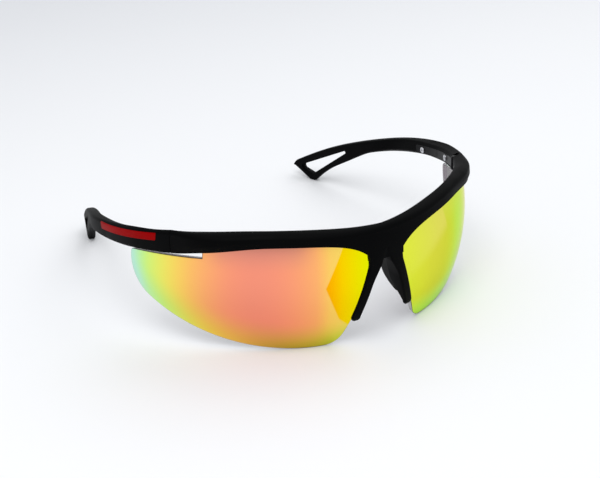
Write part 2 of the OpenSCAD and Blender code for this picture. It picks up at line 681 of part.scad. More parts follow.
front_frame();
lens(right);  // lens_right
lens(left);  // lens_left
nose_pad(right);  // nose_pad_right
nose_pad(left);  // nose_pad_left
hinge_front(right);  // hinge_front_right
hinge_front(left);  // hinge_front_left
front_screw(right);  // front_screw_right
front_screw(left);  // front_screw_left
hinge_pin(right);  // hinge_pin_right
hinge_pin(left);  // hinge_pin_left
temple(right);  // temple_right
temple(left);  // temple_left
hinge_temple(right);  // hinge_temple_right
hinge_temple(left);  // hinge_temple_left
temple_screws(right);  // temple_screws_right
temple_screws(left);  // temple_screws_left
accent_strip(right);  // accent_strip_right
accent_strip(left);  // accent_strip_left
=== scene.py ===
"""Finished look of a pair of wraparound half-frame sports sunglasses, built round the fixed frame.

X points to the wearer's left, the lenses face -Y and Z is up. The forms are worked out in millimetres about
the axis of the head, and are turned into metres in the shared frame when a mesh is made.
"""

from __future__ import annotations

import json
import logging
import math
from dataclasses import dataclass, field
from enum import Enum
from typing import Callable, Iterable, Sequence

import bmesh
import bpy
from bpy.types import Material, Node, NodeSocket, NodeTree, Object
from mathutils import Matrix, Vector

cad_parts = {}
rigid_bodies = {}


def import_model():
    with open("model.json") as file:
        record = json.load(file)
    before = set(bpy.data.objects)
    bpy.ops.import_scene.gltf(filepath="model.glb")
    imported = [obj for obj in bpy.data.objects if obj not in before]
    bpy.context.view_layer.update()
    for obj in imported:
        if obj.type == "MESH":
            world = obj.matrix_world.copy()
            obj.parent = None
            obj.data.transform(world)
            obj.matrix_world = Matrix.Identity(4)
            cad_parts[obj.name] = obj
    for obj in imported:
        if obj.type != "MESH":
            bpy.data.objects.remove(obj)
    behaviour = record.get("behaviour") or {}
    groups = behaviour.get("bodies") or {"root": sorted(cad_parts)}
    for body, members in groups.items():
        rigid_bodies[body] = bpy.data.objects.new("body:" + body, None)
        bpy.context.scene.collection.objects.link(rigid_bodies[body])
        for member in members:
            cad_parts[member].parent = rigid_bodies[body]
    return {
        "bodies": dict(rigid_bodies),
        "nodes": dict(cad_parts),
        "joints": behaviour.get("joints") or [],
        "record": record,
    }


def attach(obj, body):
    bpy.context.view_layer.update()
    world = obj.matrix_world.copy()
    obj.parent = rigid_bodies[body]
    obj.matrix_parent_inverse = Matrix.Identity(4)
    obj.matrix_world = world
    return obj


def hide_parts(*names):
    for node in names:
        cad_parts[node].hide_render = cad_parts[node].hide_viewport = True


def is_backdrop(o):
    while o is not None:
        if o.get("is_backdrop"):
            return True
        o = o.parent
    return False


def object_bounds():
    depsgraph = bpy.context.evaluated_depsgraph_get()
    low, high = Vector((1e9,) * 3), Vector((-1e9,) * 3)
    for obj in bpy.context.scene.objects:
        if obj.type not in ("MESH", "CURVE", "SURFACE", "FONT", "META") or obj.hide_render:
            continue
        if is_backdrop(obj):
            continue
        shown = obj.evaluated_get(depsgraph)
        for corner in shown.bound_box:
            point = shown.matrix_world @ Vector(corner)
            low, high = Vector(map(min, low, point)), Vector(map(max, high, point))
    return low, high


LOG = logging.getLogger("sunglasses")
MM = 0.001
# A rounded end is drawn up to this angle, so that its last ring keeps a width.
END_TURN = 84.0
Point = tuple[float, float, float]
Flat = tuple[float, float]
Colour = tuple[float, float, float]


class Side(Enum):
    """The wearer's right and left, as the sign of X."""

    RIGHT = -1
    LEFT = 1

    @property
    def word(self) -> str:
        """Return the word that ends the names of this side's pieces."""
        return self.name.lower()


class Body(Enum):
    """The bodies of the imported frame."""

    FRONT = "front"
    RIGHT_TEMPLE = "right_temple"
    LEFT_TEMPLE = "left_temple"

    @classmethod
    def temple(cls, side: Side) -> "Body":
        """Return the body of the temple on a side."""
        return cls.LEFT_TEMPLE if side is Side.LEFT else cls.RIGHT_TEMPLE


class Shaping(Enum):
    """What a tool solid does to a piece."""

    UNITE = "UNION"
    CUT = "DIFFERENCE"


class LensFace(Enum):
    """The kinds of face on a lens, as the numbers of their materials."""

    MIRROR = 0
    INSIDE = 1
    DARK_EDGE = 2
    CLEAR_EDGE = 3


def sind(degrees: float) -> float:
    """Return the sine of an angle in degrees."""
    return math.sin(math.radians(degrees))


def cosd(degrees: float) -> float:
    """Return the cosine of an angle in degrees."""
    return math.cos(math.radians(degrees))


def root(square: float) -> float:
    """Return a square root, or 0 where rounding has made the square negative."""
    return math.sqrt(max(0.0, square))


def eased(value: float, start: float, end: float) -> float:
    """Return how far a value has gone from start to end, from 0 to 1, with soft ends."""
    t = min(1.0, max(0.0, (value - start) / (end - start)))
    return t * t * (3 - 2 * t)


def blend(first: float, second: float, share: float) -> float:
    """Return the value that lies a share of the way from the first to the second."""
    return first + (second - first) * share


def steps(start: float, end: float, count: int) -> list[float]:
    """Return evenly spaced values from start to end, one more than the count of intervals."""
    return [blend(start, end, k / count) for k in range(count + 1)]


def arc(x: float, y: float, r: float, start: float, end: float, count: int,
        tall: float = 0.0) -> list[Flat]:
    """Return the points of an arc between two angles, with its radius upwards where that differs."""
    high = tall or r
    return [(x + r * cosd(t), y + high * sind(t)) for t in steps(start, end, count)]


def rounded(low: Flat, high: Flat, r: float, count: int) -> list[Flat]:
    """Draw a rectangle with rounded corners.

    Args:
        low: The corner with the smallest coordinates.
        high: The opposite corner.
        r: The radius of the corners.
        count: The number of intervals in each corner.

    Returns:
        The points of the outline, anticlockwise.
    """
    right = high[0] - r
    left = low[0] + r
    top = high[1] - r
    bottom = low[1] + r
    corners = ((right, top), (left, top), (left, bottom), (right, bottom))
    return [p for k, (x, y) in enumerate(corners) for p in arc(x, y, r, 90 * k, 90 * k + 90, count)]


def polar(angle: float, radius: float, z: float) -> Point:
    """Return the point at an angle from the nose, a distance from the head's axis and a height."""
    return (radius * sind(angle), -radius * cosd(angle), z)


def linear(red: int, green: int, blue: int) -> Colour:
    """Turn a colour as it shows on a screen, from 0 to 255, into linear light.

    Args:
        red: The red of the shown colour.
        green: The green of the shown colour.
        blue: The blue of the shown colour.

    Returns:
        The colour in linear light, from 0 to 1.
    """

    def one(value: int) -> float:
        """Return one channel in linear light."""
        c = value / 255
        return c / 12.92 if c <= 0.04045 else ((c + 0.055) / 1.055) ** 2.4

    return (one(red), one(green), one(blue))


def scaled(colour: Colour, share: float) -> Colour:
    """Return a darker or lighter colour, up to full strength."""
    return tuple(min(1.0, share * c) for c in colour)


@dataclass(frozen=True)
class Circle:
    """A circle on a drawing plane."""

    x: float
    y: float
    r: float

    def at(self, angle: float) -> Flat:
        """Return the point of the circle at an angle in degrees."""
        return (self.x + self.r * cosd(angle), self.y + self.r * sind(angle))

    def bearing(self, other: "Circle") -> float:
        """Return the direction of another circle's centre, in degrees."""
        return math.degrees(math.atan2(other.y - self.y, other.x - self.x))

    def grown(self, amount: float) -> "Circle":
        """Return the circle with a larger radius."""
        return Circle(self.x, self.y, self.r + amount)

    @staticmethod
    def through(a: Flat, b: Flat, c: Flat) -> "Circle":
        """Find the circle through three points.

        Args:
            a: The first point.
            b: The second point.
            c: The third point.

        Returns:
            The circle.
        """
        d = 2 * (a[0] * (b[1] - c[1]) + b[0] * (c[1] - a[1]) + c[0] * (a[1] - b[1]))
        sa = a[0] ** 2 + a[1] ** 2
        sb = b[0] ** 2 + b[1] ** 2
        sc = c[0] ** 2 + c[1] ** 2
        x = (sa * (b[1] - c[1]) + sb * (c[1] - a[1]) + sc * (a[1] - b[1])) / d
        y = (sa * (c[0] - b[0]) + sb * (a[0] - c[0]) + sc * (b[0] - a[0])) / d
        return Circle(x, y, math.hypot(a[0] - x, a[1] - y))

    @staticmethod
    def over(a: Flat, b: Flat, r: float) -> "Circle":
        """Find the circle of a given radius through two points, centred on the left of the way from a to b.

        Args:
            a: The first point.
            b: The second point.
            r: The radius.

        Returns:
            The circle.
        """
        d = math.hypot(b[0] - a[0], b[1] - a[1])
        ux = (b[0] - a[0]) / d
        uy = (b[1] - a[1]) / d
        rise = math.sqrt(r * r - d * d / 4)
        return Circle((a[0] + b[0]) / 2 - uy * rise, (a[1] + b[1]) / 2 + ux * rise, r)

    @staticmethod
    def fillet(first: "Circle", second: "Circle", r: float) -> "Circle":
        """Find the circle that rounds the corner between two circles from inside them.

        Args:
            first: The circle that comes first on the outline.
            second: The circle that comes next.
            r: The radius of the rounding.

        Returns:
            The rounding circle.
        """
        ra = first.r - r
        rb = second.r - r
        d = math.hypot(second.x - first.x, second.y - first.y)
        ux = (second.x - first.x) / d
        uy = (second.y - first.y) / d
        along = (ra * ra - rb * rb + d * d) / (2 * d)
        side = math.sqrt(max(0.0, ra * ra - along * along))
        return Circle(first.x + ux * along - uy * side, first.y + uy * along + ux * side, r)


@dataclass(frozen=True)
class LensSizes:
    """Sizes of a lens, which is part of a spherical shell."""

    radius: float = 74.7
    back: float = 4.5
    centre_z: float = 26.4
    thick: float = 1.9
    seat: float = 1.5
    belly_radius: float = 260.0
    reach: float = 47.0
    outer_corner: float = 17.2
    inner_corner: float = 9.6
    aim: float = 45.0
    belly_inner_p: float = -34.0
    belly_outer: Flat = (33.5, -12.4)
    free_fall: float = 2.6
    free_r: float = 900.0
    top_inner_corner: float = 5.0
    top_outer_corner: float = 2.4
    vent_angle: float = 54.7
    vent_height: float = 2.15
    leg_heights: Point = (12.0, 22.0, 31.0)
    crest_angles: Flat = (12.0, 30.0)

    def face(self, angle: float, z: float, grow: float = 0.0) -> float:
        """Return how far the outer face, or a face outside it, lies from the head's axis at a height."""
        inside = (self.radius + grow) ** 2 - (z - self.centre_z) ** 2 - (self.back * sind(angle)) ** 2
        return math.sqrt(inside) - self.back * cosd(angle)


@dataclass(frozen=True)
class BrowSizes:
    """Sizes of the brow bar and the arch over the nose."""

    under_z: float = 42.4
    top_z: float = 46.5
    swell: float = 1.0
    depth: float = 5.8
    lip: float = 0.9
    end_lip: float = 3.0
    roll: float = 2.4
    seam_angle: float = 64.5
    arch_z: float = 33.4
    bridge_angle: float = 5.9
    peak_angle: float = 29.0
    fall: float = 0.0046
    turn: float = 4.4
    turn_angle: float = 4.5
    line_from: float = 22.4
    under_slope: float = 0.5
    crown_from: float = 40.0
    crown_slope: float = 1.0
    end_roll: float = 1.5
    top_peak: float = 38.0
    top_wave: float = 40.0
    low_angle: float = 20.0
    rise: float = 0.1
    blend: float = 8.0
    lip_from: float = 35.0
    rear_round: float = 0.9
    bottom_round: float = 0.6
    front_round: float = 0.35
    foot_until: float = 345.0
    rear_from: float = 98.0
    bulge: float = 0.9
    bulge_from: float = 24.0
    bulge_full: float = 50.0
    bulge_until: float = 53.0
    bulge_rise: float = 3.0
    under_lift: float = 0.4
    lift_full: float = 40.0
    land_from: float = 54.0
    land_top: float = 0.35
    land_drop: float = 0.75


@dataclass(frozen=True)
class LegSizes:
    """Sizes of the nose legs and their soft pads."""

    width: float = 3.8
    flare: float = 2.0
    bow: float = 0.6
    root_out: float = 7.6
    tip_out: float = 14.4
    end_z: float = 9.7
    depth: float = 1.2
    deepening: float = 6.0
    deep_from: float = 8.6
    deep_full: float = 22.6
    root_less: float = 1.9
    root_over: float = 6.0
    root_lean: float = 0.06
    set_back: float = 0.35
    root_z: float = 31.4
    round: float = 0.8
    least_round: float = 0.01
    least_flat: float = 0.03
    flare_from: float = 24.0
    flare_h: float = 9.0
    flare_power: float = 1.5
    pad_reach: float = 5.0
    pad_least: float = 0.8
    pad_end: float = 1.02
    pad_wrap: float = 10.0
    pad_above_root: float = 0.2
    pad_rise: float = 5.6
    pad_taper: float = 0.2
    pad_thick: float = 2.4
    pad_splay: float = 8.0
    pad_root: float = 1.0
    pad_shift: float = 0.7

    @property
    def tip_z(self) -> float:
        """Return the height at which the leg's round end begins."""
        return self.end_z + self.width / 2

    @property
    def pad_top(self) -> float:
        """Return the height of the pad's upper end."""
        return self.root_z + self.pad_above_root

    @property
    def pad_low(self) -> float:
        """Return the height of the pad's lower end."""
        return self.end_z + self.pad_rise


@dataclass(frozen=True)
class TempleSizes:
    """Sizes of a temple."""

    length: float = 118.0
    radius: float = 78.0
    splay: float = 3.8
    bend: float = 16.6
    thick: float = 4.2
    tip_thick: float = 3.2
    step: float = 0.4
    lift: float = 0.1
    fall: float = 0.195
    top_power: int = 3
    heel_power: int = 5
    heel_fall: float = 0.173
    tip_top_z: float = 7.0
    toe_at: float = 104.6
    toe_flat: float = 3.4
    toe_rise: float = 0.5
    toe_round: float = 1.2
    round: float = 1.1
    foot_rounds: Flat = (-4.0, 18.0)
    least_height: float = 1.0
    least_flat: float = 0.02
    fork_bar: float = 2.9
    fork_start: float = 60.0
    joint_gap: float = 0.2
    lean_until: float = 26.0
    lean_gone: float = 52.0
    inner_rise: float = 1.1
    inner_full: float = 15.0
    inner_fades: Flat = (85.0, 55.0)
    tip_round: float = 1.6
    tip_short: float = 0.02
    top_lift: float = 0.4
    lift_grows: Flat = (6.0, 20.0)
    lift_fades: Flat = (116.0, 90.0)
    window_edge: float = 0.35
    window_from: float = 25.5
    window_to: float = 6.6
    window_foot: float = 1.8
    window_front_drop: float = 0.9
    window_rear_drop: float = 2.2
    window_foot_rise: float = 4.8
    window_front_r: float = 0.6
    window_rear_r: float = 1.3
    window_foot_r: float = 1.5
    belly: float = 1.2
    belly_from: float = 72.0
    belly_to: float = 104.0
    belly_skew: float = 0.8
    front_drop: float = 0.3
    front_fades: Flat = (40.0, 20.0)
    joint_drop: float = 0.15
    joint_fades: Flat = (13.0, 0.0)


@dataclass(frozen=True)
class HingeSizes:
    """Sizes of the hinges, their leaves and their screws."""

    barrel_r: float = 1.6
    knuckle_h: float = 1.6
    knuckle_gap: float = 0.06
    axis_inset: float = 1.0
    below_middle: float = 0.3
    fold_gap: float = 0.25
    leaf_thick: float = 0.8
    leaf_h: float = 3.4
    front_leaf: float = 7.5
    temple_leaf: float = 39.0
    leaf_from: float = 1.0
    leaf_corner: float = 0.6
    band_corner: float = 0.8
    barrel_room: float = 0.3
    head_d: float = 2.6
    head_h: float = 0.5
    screw_d: float = 1.4
    screw_l: float = 2.4
    screw_at: Flat = (12.2, 35.0)
    inlay_gap: float = 0.06

    @property
    def height(self) -> float:
        """Return the height of the whole barrel."""
        return 3 * self.knuckle_h + 2 * self.knuckle_gap

    @property
    def fold_room(self) -> float:
        """Return the radius that the swinging edge of the temple needs."""
        return self.axis_inset * math.sqrt(2) + self.fold_gap


@dataclass(frozen=True)
class StripSizes:
    """Sizes of the coloured strip that is let into the outside of a temple."""

    start: float = 6.4
    length: float = 35.2
    height: float = 2.9
    thick: float = 0.6
    below_top: float = 2.3
    corner: float = 0.5
    bevel: float = 0.12
    proud: float = 0.05
    slant: float = 0.35

    @property
    def end(self) -> float:
        """Return the distance of its rear end from the joint."""
        return self.start + self.length


@dataclass(frozen=True)
class Detail:
    """How many intervals the curves are drawn with."""

    brow_foot: int = 5
    brow_face: int = 12
    brow_roll: int = 14
    brow_rear: int = 8
    brow_heel: int = 6
    leg_corner: int = 7
    leg_side: int = 7
    leg_over: int = 2
    leg_end: tuple[float, ...] = (25.0, 50.0, 70.0, END_TURN)
    pad_edge: int = 22
    temple_corner: int = 9
    lens_runs: tuple[int, ...] = (8, 8, 1, 40, 8, 16, 16, 44, 24)
    leaf_corner: int = 8
    recess: int = 24
    band_end: int = 8
    band_straight: int = 48
    bevel: int = 3
    screw_round: int = 39
    screw_crown: int = 5


@dataclass(frozen=True)
class Form:
    """The curves that all the pieces share, in millimetres about the axis of the head."""

    lens: LensSizes = field(default_factory=LensSizes)
    brow: BrowSizes = field(default_factory=BrowSizes)
    leg: LegSizes = field(default_factory=LegSizes)
    temple: TempleSizes = field(default_factory=TempleSizes)
    hinge: HingeSizes = field(default_factory=HingeSizes)
    strip: StripSizes = field(default_factory=StripSizes)
    detail: Detail = field(default_factory=Detail)

    @property
    def inner_r(self) -> float:
        """Return the smallest distance of the brow's rear face from the head's axis."""
        return self.lens.radius - self.lens.back - self.brow.depth

    def brow_under(self, angle: float) -> float:
        """Find the height of the brow's lower edge.

        Args:
            angle: The angle from the nose in degrees.

        Returns:
            The height.
        """
        b = self.brow
        if abs(angle) < b.bridge_angle:
            return b.arch_z
        off = abs(angle) - b.peak_angle
        bent = min(off, b.line_from)
        drop = b.fall * (bent * bent + 2 * b.line_from * max(0.0, off - b.line_from))
        return b.under_z - drop - b.turn * math.exp(-(abs(angle) - b.bridge_angle) / b.turn_angle)

    def brow_top(self, angle: float) -> float:
        """Return the height of the brow's upper edge at an angle."""
        b = self.brow
        return b.top_z + b.swell * cosd(180 * (abs(angle) - b.top_peak) / b.top_wave)

    def brow_landing(self, angle: float) -> float:
        """Return how far the brow's edges have come down to the temple's, from 0 to 1."""
        return eased(abs(angle), self.brow.land_from, self.brow.seam_angle)

    def brow_bulge(self, angle: float) -> float:
        """Find how far the brow's outer face swells before it meets the temple.

        Args:
            angle: The angle from the nose in degrees.

        Returns:
            The distance outwards.
        """
        b = self.brow
        grown = eased(abs(angle), b.bulge_from, b.bulge_full)
        return b.bulge * grown * eased(abs(angle), b.seam_angle, b.bulge_until)

    def brow_lift(self, angle: float) -> float:
        """Find how far the lower edge rises over the vent before it comes down to the temple's.

        Args:
            angle: The angle from the nose in degrees.

        Returns:
            The distance upwards.
        """
        b = self.brow
        lift = b.under_lift * eased(abs(angle), b.bulge_from, b.lift_full)
        return lift - b.land_drop * self.brow_landing(angle)

    def brow_end(self, angle: float) -> float:
        """Return how far the section has turned into the brow's end, from 0 to 1."""
        return eased(abs(angle), self.brow.crown_from, self.brow.seam_angle)

    def brow_in(self, angle: float) -> float:
        """Return the distance of the brow's rear face from the head's axis."""
        b = self.brow
        return self.inner_r + b.rise * (math.hypot(abs(angle) - b.low_angle, b.blend) - b.blend)

    def brow_proud(self, angle: float) -> float:
        """Return how far the brow stands proud of the lens."""
        b = self.brow
        return blend(b.lip, b.end_lip, eased(abs(angle), b.lip_from, b.seam_angle))

    @property
    def seam_out(self) -> float:
        """Return the distance of the outer face at the temple joint from the head's axis."""
        return self.brow_in(self.brow.seam_angle) + self.temple.thick

    def brow_ring(self, angle: float) -> list[Point]:
        """Draw the brow's section in the upright plane at an angle from the nose.

        Args:
            angle: The angle in degrees.

        Returns:
            The points round the section.
        """
        b = self.brow
        n = self.detail
        foot = b.front_round
        heel = b.bottom_round
        rear = b.rear_round
        zb = self.brow_under(angle) + self.brow_lift(angle)
        zt = self.brow_top(angle) - b.land_top * self.brow_landing(angle)
        ri = self.brow_in(angle)
        lip = self.brow_proud(angle)
        bulge = self.brow_bulge(angle)
        end = self.brow_end(angle)
        roll_h = blend(b.roll, b.end_roll, end)
        zf = zt - roll_h

        def outer(z: float) -> float:
            """Return the distance of the outer face from the head's axis at a height."""
            plain = blend(self.lens.face(angle, z, lip), self.seam_out, end)
            return plain + bulge * eased(z, zb, zb + b.bulge_rise)

        ro = outer(zf)
        roll = blend(ro - ri - rear, b.end_roll, end)
        zr = zt - b.crown_slope * end
        zu = zb + b.under_slope * end
        flat = arc(outer(zb) - foot, zb + foot, foot, 270, b.foot_until, n.brow_foot)
        flat += [(outer(z), z) for z in steps(zb + foot, zf, n.brow_face)[:-1]]
        flat += arc(ro - roll, zf, roll, 0, 90, n.brow_roll, roll_h)
        flat += arc(ri + rear, zr - rear, rear, b.rear_from, 180, n.brow_rear)
        flat += arc(ri + heel, zu + heel, heel, 180, 270, n.brow_heel)
        return [polar(angle, r, z) for r, z in flat]

    def leg_along(self, z: float) -> float:
        """Return how far down the leg a height is, from 0 to 1."""
        g = self.leg
        return min(1.0, max(0.0, (g.root_z - z) / (g.root_z - g.tip_z)))

    def leg_out(self, z: float) -> float:
        """Find how far a leg's outer edge lies from the middle plane.

        Args:
            z: The height.

        Returns:
            The distance.
        """
        g = self.leg
        t = self.leg_along(z)
        above = g.root_lean * max(0.0, z - g.root_z)
        return blend(g.root_out, g.tip_out, t) - above - g.bow * t * (1 - t)

    def leg_wide(self, z: float) -> float:
        """Find the width of a leg.

        Args:
            z: The height.

        Returns:
            The width.
        """
        g = self.leg
        if z >= g.tip_z:
            return g.width + g.flare * (max(0.0, z - g.flare_from) / g.flare_h) ** g.flare_power
        return 2 * root((g.width / 2) ** 2 - (g.tip_z - z) ** 2)

    def leg_deep(self, z: float) -> float:
        """Find the depth of a leg.

        Args:
            z: The height.

        Returns:
            The depth.
        """
        g = self.leg
        less = g.root_less * eased(z, g.root_z - g.root_over, g.root_z)
        return g.depth + g.deepening * eased(z, g.deep_from, g.deep_full) - less

    def leg_sink(self, z: float) -> float:
        """Find how far the leg's round end has sunk back from the front.

        Args:
            z: The height.

        Returns:
            The distance.
        """
        g = self.leg
        t = max(0.0, (g.tip_z - z) / (g.tip_z - g.end_z))
        return g.round * (1 - root(1 - t * t))

    def leg_angle(self, z: float) -> float:
        """Return the angle from the nose of a leg's middle."""
        wide = self.leg_wide(max(z, self.leg.tip_z))
        return math.degrees(math.asin((self.leg_out(z) - wide / 2) / self.lens.radius))

    def leg_point(self, z: float, x: float, back: float) -> Point:
        """Find a point given across and behind the middle of a leg's front face.

        Args:
            z: The height.
            x: The distance across, outwards.
            back: The distance behind the front face.

        Returns:
            The point.
        """
        a = self.leg_angle(z)
        sunk = self.leg.set_back * eased(z, self.leg.root_z, self.leg.tip_z)
        y = back + sunk - self.lens.face(a, z, self.brow.lip)
        return (x * cosd(a) - y * sind(a), x * sind(a) + y * cosd(a), z)

    def leg_ring(self, z: float) -> list[Point]:
        """Draw a leg's section at a height.

        Args:
            z: The height.

        Returns:
            The points round the section.
        """
        g = self.leg
        half = self.leg_wide(z) / 2
        low = self.leg_sink(z)
        high = self.leg_deep(z) - low / 2
        r = max(g.least_round, min(g.round, half - g.least_flat, (high - low) / 2 - g.least_flat))
        flat = rounded((-half, low), (half, high), r, self.detail.leg_corner)
        return [self.leg_point(z, x, y) for x, y in flat]

    def pad_ring(self, z: float) -> list[Point]:
        """Draw a nose pad's section at a height.

        Args:
            z: The height.

        Returns:
            The points round the section.
        """
        g = self.leg
        up = 2 * (z - g.pad_low) / (g.pad_top - g.pad_low) - 1
        swell = root(1 - (up / g.pad_end) ** 2) * (1 + g.pad_taper * up)
        half = self.leg_wide(z) / 2 - g.round
        r = g.pad_thick / 2
        reach = g.pad_root + blend(g.pad_least, g.pad_reach, swell) - r
        start = self.leg_deep(z) - g.pad_root
        cx = reach * sind(g.pad_splay) - g.pad_shift
        cy = start + reach * cosd(g.pad_splay)
        flat = [(-half, start), (half, start)]
        wrap = g.pad_wrap
        flat += arc(cx, cy, r, -g.pad_splay - wrap, 180 + wrap - g.pad_splay, self.detail.pad_edge)
        return [self.leg_point(z, x, y) for x, y in flat]

    @property
    def temple_from(self) -> float:
        """Return the angle at which a temple's arc begins."""
        return self.brow.seam_angle - self.temple.splay

    @property
    def temple_to(self) -> float:
        """Return the angle at which a temple's arc ends."""
        return 90 + self.temple.bend

    @property
    def temple_centre(self) -> Flat:
        """Find the centre of a temple's arc in plan.

        Returns:
            The centre.
        """
        seam = self.brow.seam_angle
        r = self.temple.radius
        x = self.seam_out * sind(seam) - r * sind(self.temple_from)
        y = -self.seam_out * cosd(seam) + r * cosd(self.temple_from)
        return (x, y)

    @property
    def arc_length(self) -> float:
        """Return the length of a temple's arc."""
        return math.radians(self.temple_to - self.temple_from) * self.temple.radius

    def arc_angle(self, u: float) -> float:
        """Return the angle on a temple's arc at a distance from the joint."""
        return self.temple_from + math.degrees(u / self.temple.radius)

    def temple_turn(self, u: float) -> float:
        """Return the direction that a temple's outer face looks in at a distance from the joint."""
        return self.arc_angle(u) if u < self.arc_length else self.temple_to

    def temple_at(self, u: float, inset: float) -> Flat:
        """Find a point of a temple in plan.

        Args:
            u: The distance from the joint along the outer face.
            inset: The distance inside the outer face.

        Returns:
            The point in plan.
        """
        b = self.temple_turn(u)
        run = max(0.0, u - self.arc_length)
        r = self.temple.radius - inset
        x, y = self.temple_centre
        return (x + r * sind(b) + run * cosd(b), y - r * cosd(b) + run * sind(b))

    @property
    def temple_top_z(self) -> float:
        """Return the height of a temple's top edge at the joint."""
        return self.brow_top(self.brow.seam_angle) - self.temple.step

    @property
    def temple_under_z(self) -> float:
        """Return the height of a temple's lower edge at the joint."""
        return self.brow_under(self.brow.seam_angle) + self.temple.lift

    @property
    def hinge_z(self) -> float:
        """Return the height of the middle of the hinge."""
        return (self.temple_top_z + self.temple_under_z) / 2 - self.hinge.below_middle

    def temple_w(self, u: float) -> float:
        """Return the thickness of a temple."""
        t = self.temple
        return blend(t.thick, t.tip_thick, eased(u, t.fork_start, t.length))

    def temple_top(self, u: float) -> float:
        """Find the height of a temple's top edge.

        Args:
            u: The distance from the joint.

        Returns:
            The height.
        """
        t = self.temple
        drop = self.temple_top_z - t.fall * t.length - t.tip_top_z
        lift = t.top_lift * eased(u, *t.lift_grows) * eased(u, *t.lift_fades)
        return self.temple_top_z - t.fall * u - drop * (u / t.length) ** t.top_power + lift

    def temple_under(self, u: float) -> float:
        """Find the height of a temple's lower edge.

        Args:
            u: The distance from the joint.

        Returns:
            The height.
        """
        t = self.temple
        drop = self.temple_under_z - t.heel_fall * t.toe_at
        heel = self.temple_under_z - t.heel_fall * u - drop * (max(0.0, u) / t.toe_at) ** t.heel_power
        along = min(1.0, max(0.0, (u - t.belly_from) / (t.belly_to - t.belly_from)))
        heel -= t.belly * sind(180 * along**t.belly_skew) ** 2
        heel -= t.front_drop * eased(u, *t.front_fades) + t.joint_drop * eased(u, *t.joint_fades)
        end = (u - t.toe_at - t.toe_flat) * t.toe_rise
        return max(0.0, (heel + end + math.hypot(heel - end, t.toe_round)) / 2)

    def temple_lean(self, u: float) -> float:
        """Return how much of the brow end's leaning top a temple still has, from 0 to 1."""
        return eased(u, self.temple.lean_gone, self.temple.lean_until)

    def temple_roll(self, u: float) -> float:
        """Return the radius of a temple's upper outer edge."""
        return blend(self.temple.round, self.brow.end_roll, self.temple_lean(u))

    def temple_ring(self, u: float) -> list[Point]:
        """Draw a temple's section at a distance from the joint.

        Args:
            u: The distance from the joint.

        Returns:
            The points round the section.
        """
        t = self.temple
        w = self.temple_w(u)
        zb = self.temple_under(u)
        into_tip = max(0.0, u - (t.length - t.tip_round))
        cut = t.tip_round - root(t.tip_round**2 - into_tip**2)
        zt = max(zb + t.least_height, self.temple_top(u) - cut)
        half = (zt - zb) / 2 - t.least_flat
        r = min(t.round, half)
        rt = min(self.temple_roll(u), half)
        rb = min(r, blend(self.brow.front_round, t.round, eased(u, *t.foot_rounds)))
        zi = zt - self.brow.crown_slope * self.temple_lean(u)
        slope = blend(self.brow.under_slope, t.inner_rise, eased(u, 0, t.inner_full))
        zu = zb + slope * eased(u, *t.inner_fades)
        corners = (
            (rt, zt - rt, rt),
            (w - r, zi - r, r),
            (w - r, zu + r, r),
            (rb, zb + rb, rb),
        )
        ring: list[Point] = []
        for k, (inset, z_at, radius) in enumerate(corners):
            for x, z in arc(-inset, z_at, radius, 90 * k, 90 * k + 90, self.detail.temple_corner):
                ring.append((*self.temple_at(u, -x), z))
        return ring

    def window_corners(self) -> list[Circle]:
        """Find the corners of the window in the forked end.

        Returns:
            Their circles, by distance from the joint and height.
        """
        t = self.temple
        front = t.fork_start + t.window_from
        rear = t.toe_at + t.window_to
        foot = t.toe_at + t.window_foot
        return [
            Circle(front, self.temple_top(front) - t.fork_bar - t.window_front_drop, t.window_front_r),
            Circle(rear, self.temple_top(rear) - t.fork_bar - t.window_rear_drop, t.window_rear_r),
            Circle(foot, self.temple_under(foot) + t.window_foot_rise, t.window_foot_r),
        ]

    def band_point(self, middle: float, p: float, q: float, z0: float, inset: float) -> Point:
        """Find a point of a band that lies in a temple's arc and slopes with the temple.

        Args:
            middle: The distance from the joint of the band's middle.
            p: The distance along the band from its middle.
            q: The distance above the band's centre line.
            z0: The height of the centre line, carried forward to the joint.
            inset: The distance inside the outer face.

        Returns:
            The point.
        """
        tilt = math.degrees(math.atan(self.temple.fall))
        y = p * cosd(tilt) + q * sind(tilt)
        z = z0 - self.temple.fall * middle - p * sind(tilt) + q * cosd(tilt)
        r = self.temple.radius - inset
        b = self.arc_angle(middle) + math.degrees(math.asin(y / r))
        x0, y0 = self.temple_centre
        return (x0 + r * sind(b), y0 - r * cosd(b), z)

    def roll_inset(self, u: float, z: float) -> float:
        """Find how far a temple's rolled upper edge lies inside its outer face.

        Args:
            u: The distance from the joint.
            z: The height.

        Returns:
            The depth inside the outer face, 0 below the roll.
        """
        r = self.temple_roll(u)
        rise = min(r, max(0.0, z - (self.temple_top(u) - r)))
        return r - root(r * r - rise * rise)

    def band_length(self, start: float, end: float) -> float:
        """Return the straight length of a sloping band between two distances from the joint."""
        chord = 2 * self.temple.radius * math.sin((end - start) / self.temple.radius / 2)
        return chord * math.hypot(1, self.temple.fall)

    def drawn(self, angle: float, z: float) -> Flat:
        """Show a point of the lens's face on the plane that touches the lens at its middle.

        Args:
            angle: The angle from the nose in degrees.
            z: The height.

        Returns:
            The point on the plane, seen from the centre of curvature.
        """
        s = self.lens
        r = s.face(angle, z)
        x = r * sind(angle)
        y = r * cosd(angle) + s.back
        n = x * sind(s.aim) + y * cosd(s.aim)
        return (s.radius * (x * cosd(s.aim) - y * sind(s.aim)) / n, s.radius * (z - s.centre_z) / n)

    def belly(self) -> Circle:
        """Find the circle of the lens's lower edge on the drawing plane.

        Returns:
            The circle.
        """
        s = self.lens
        floor = math.sqrt((s.radius**2 + s.belly_inner_p**2) / (s.radius**2 - s.centre_z**2))
        return Circle.over((s.belly_inner_p, -s.centre_z * floor), s.belly_outer, s.belly_radius)

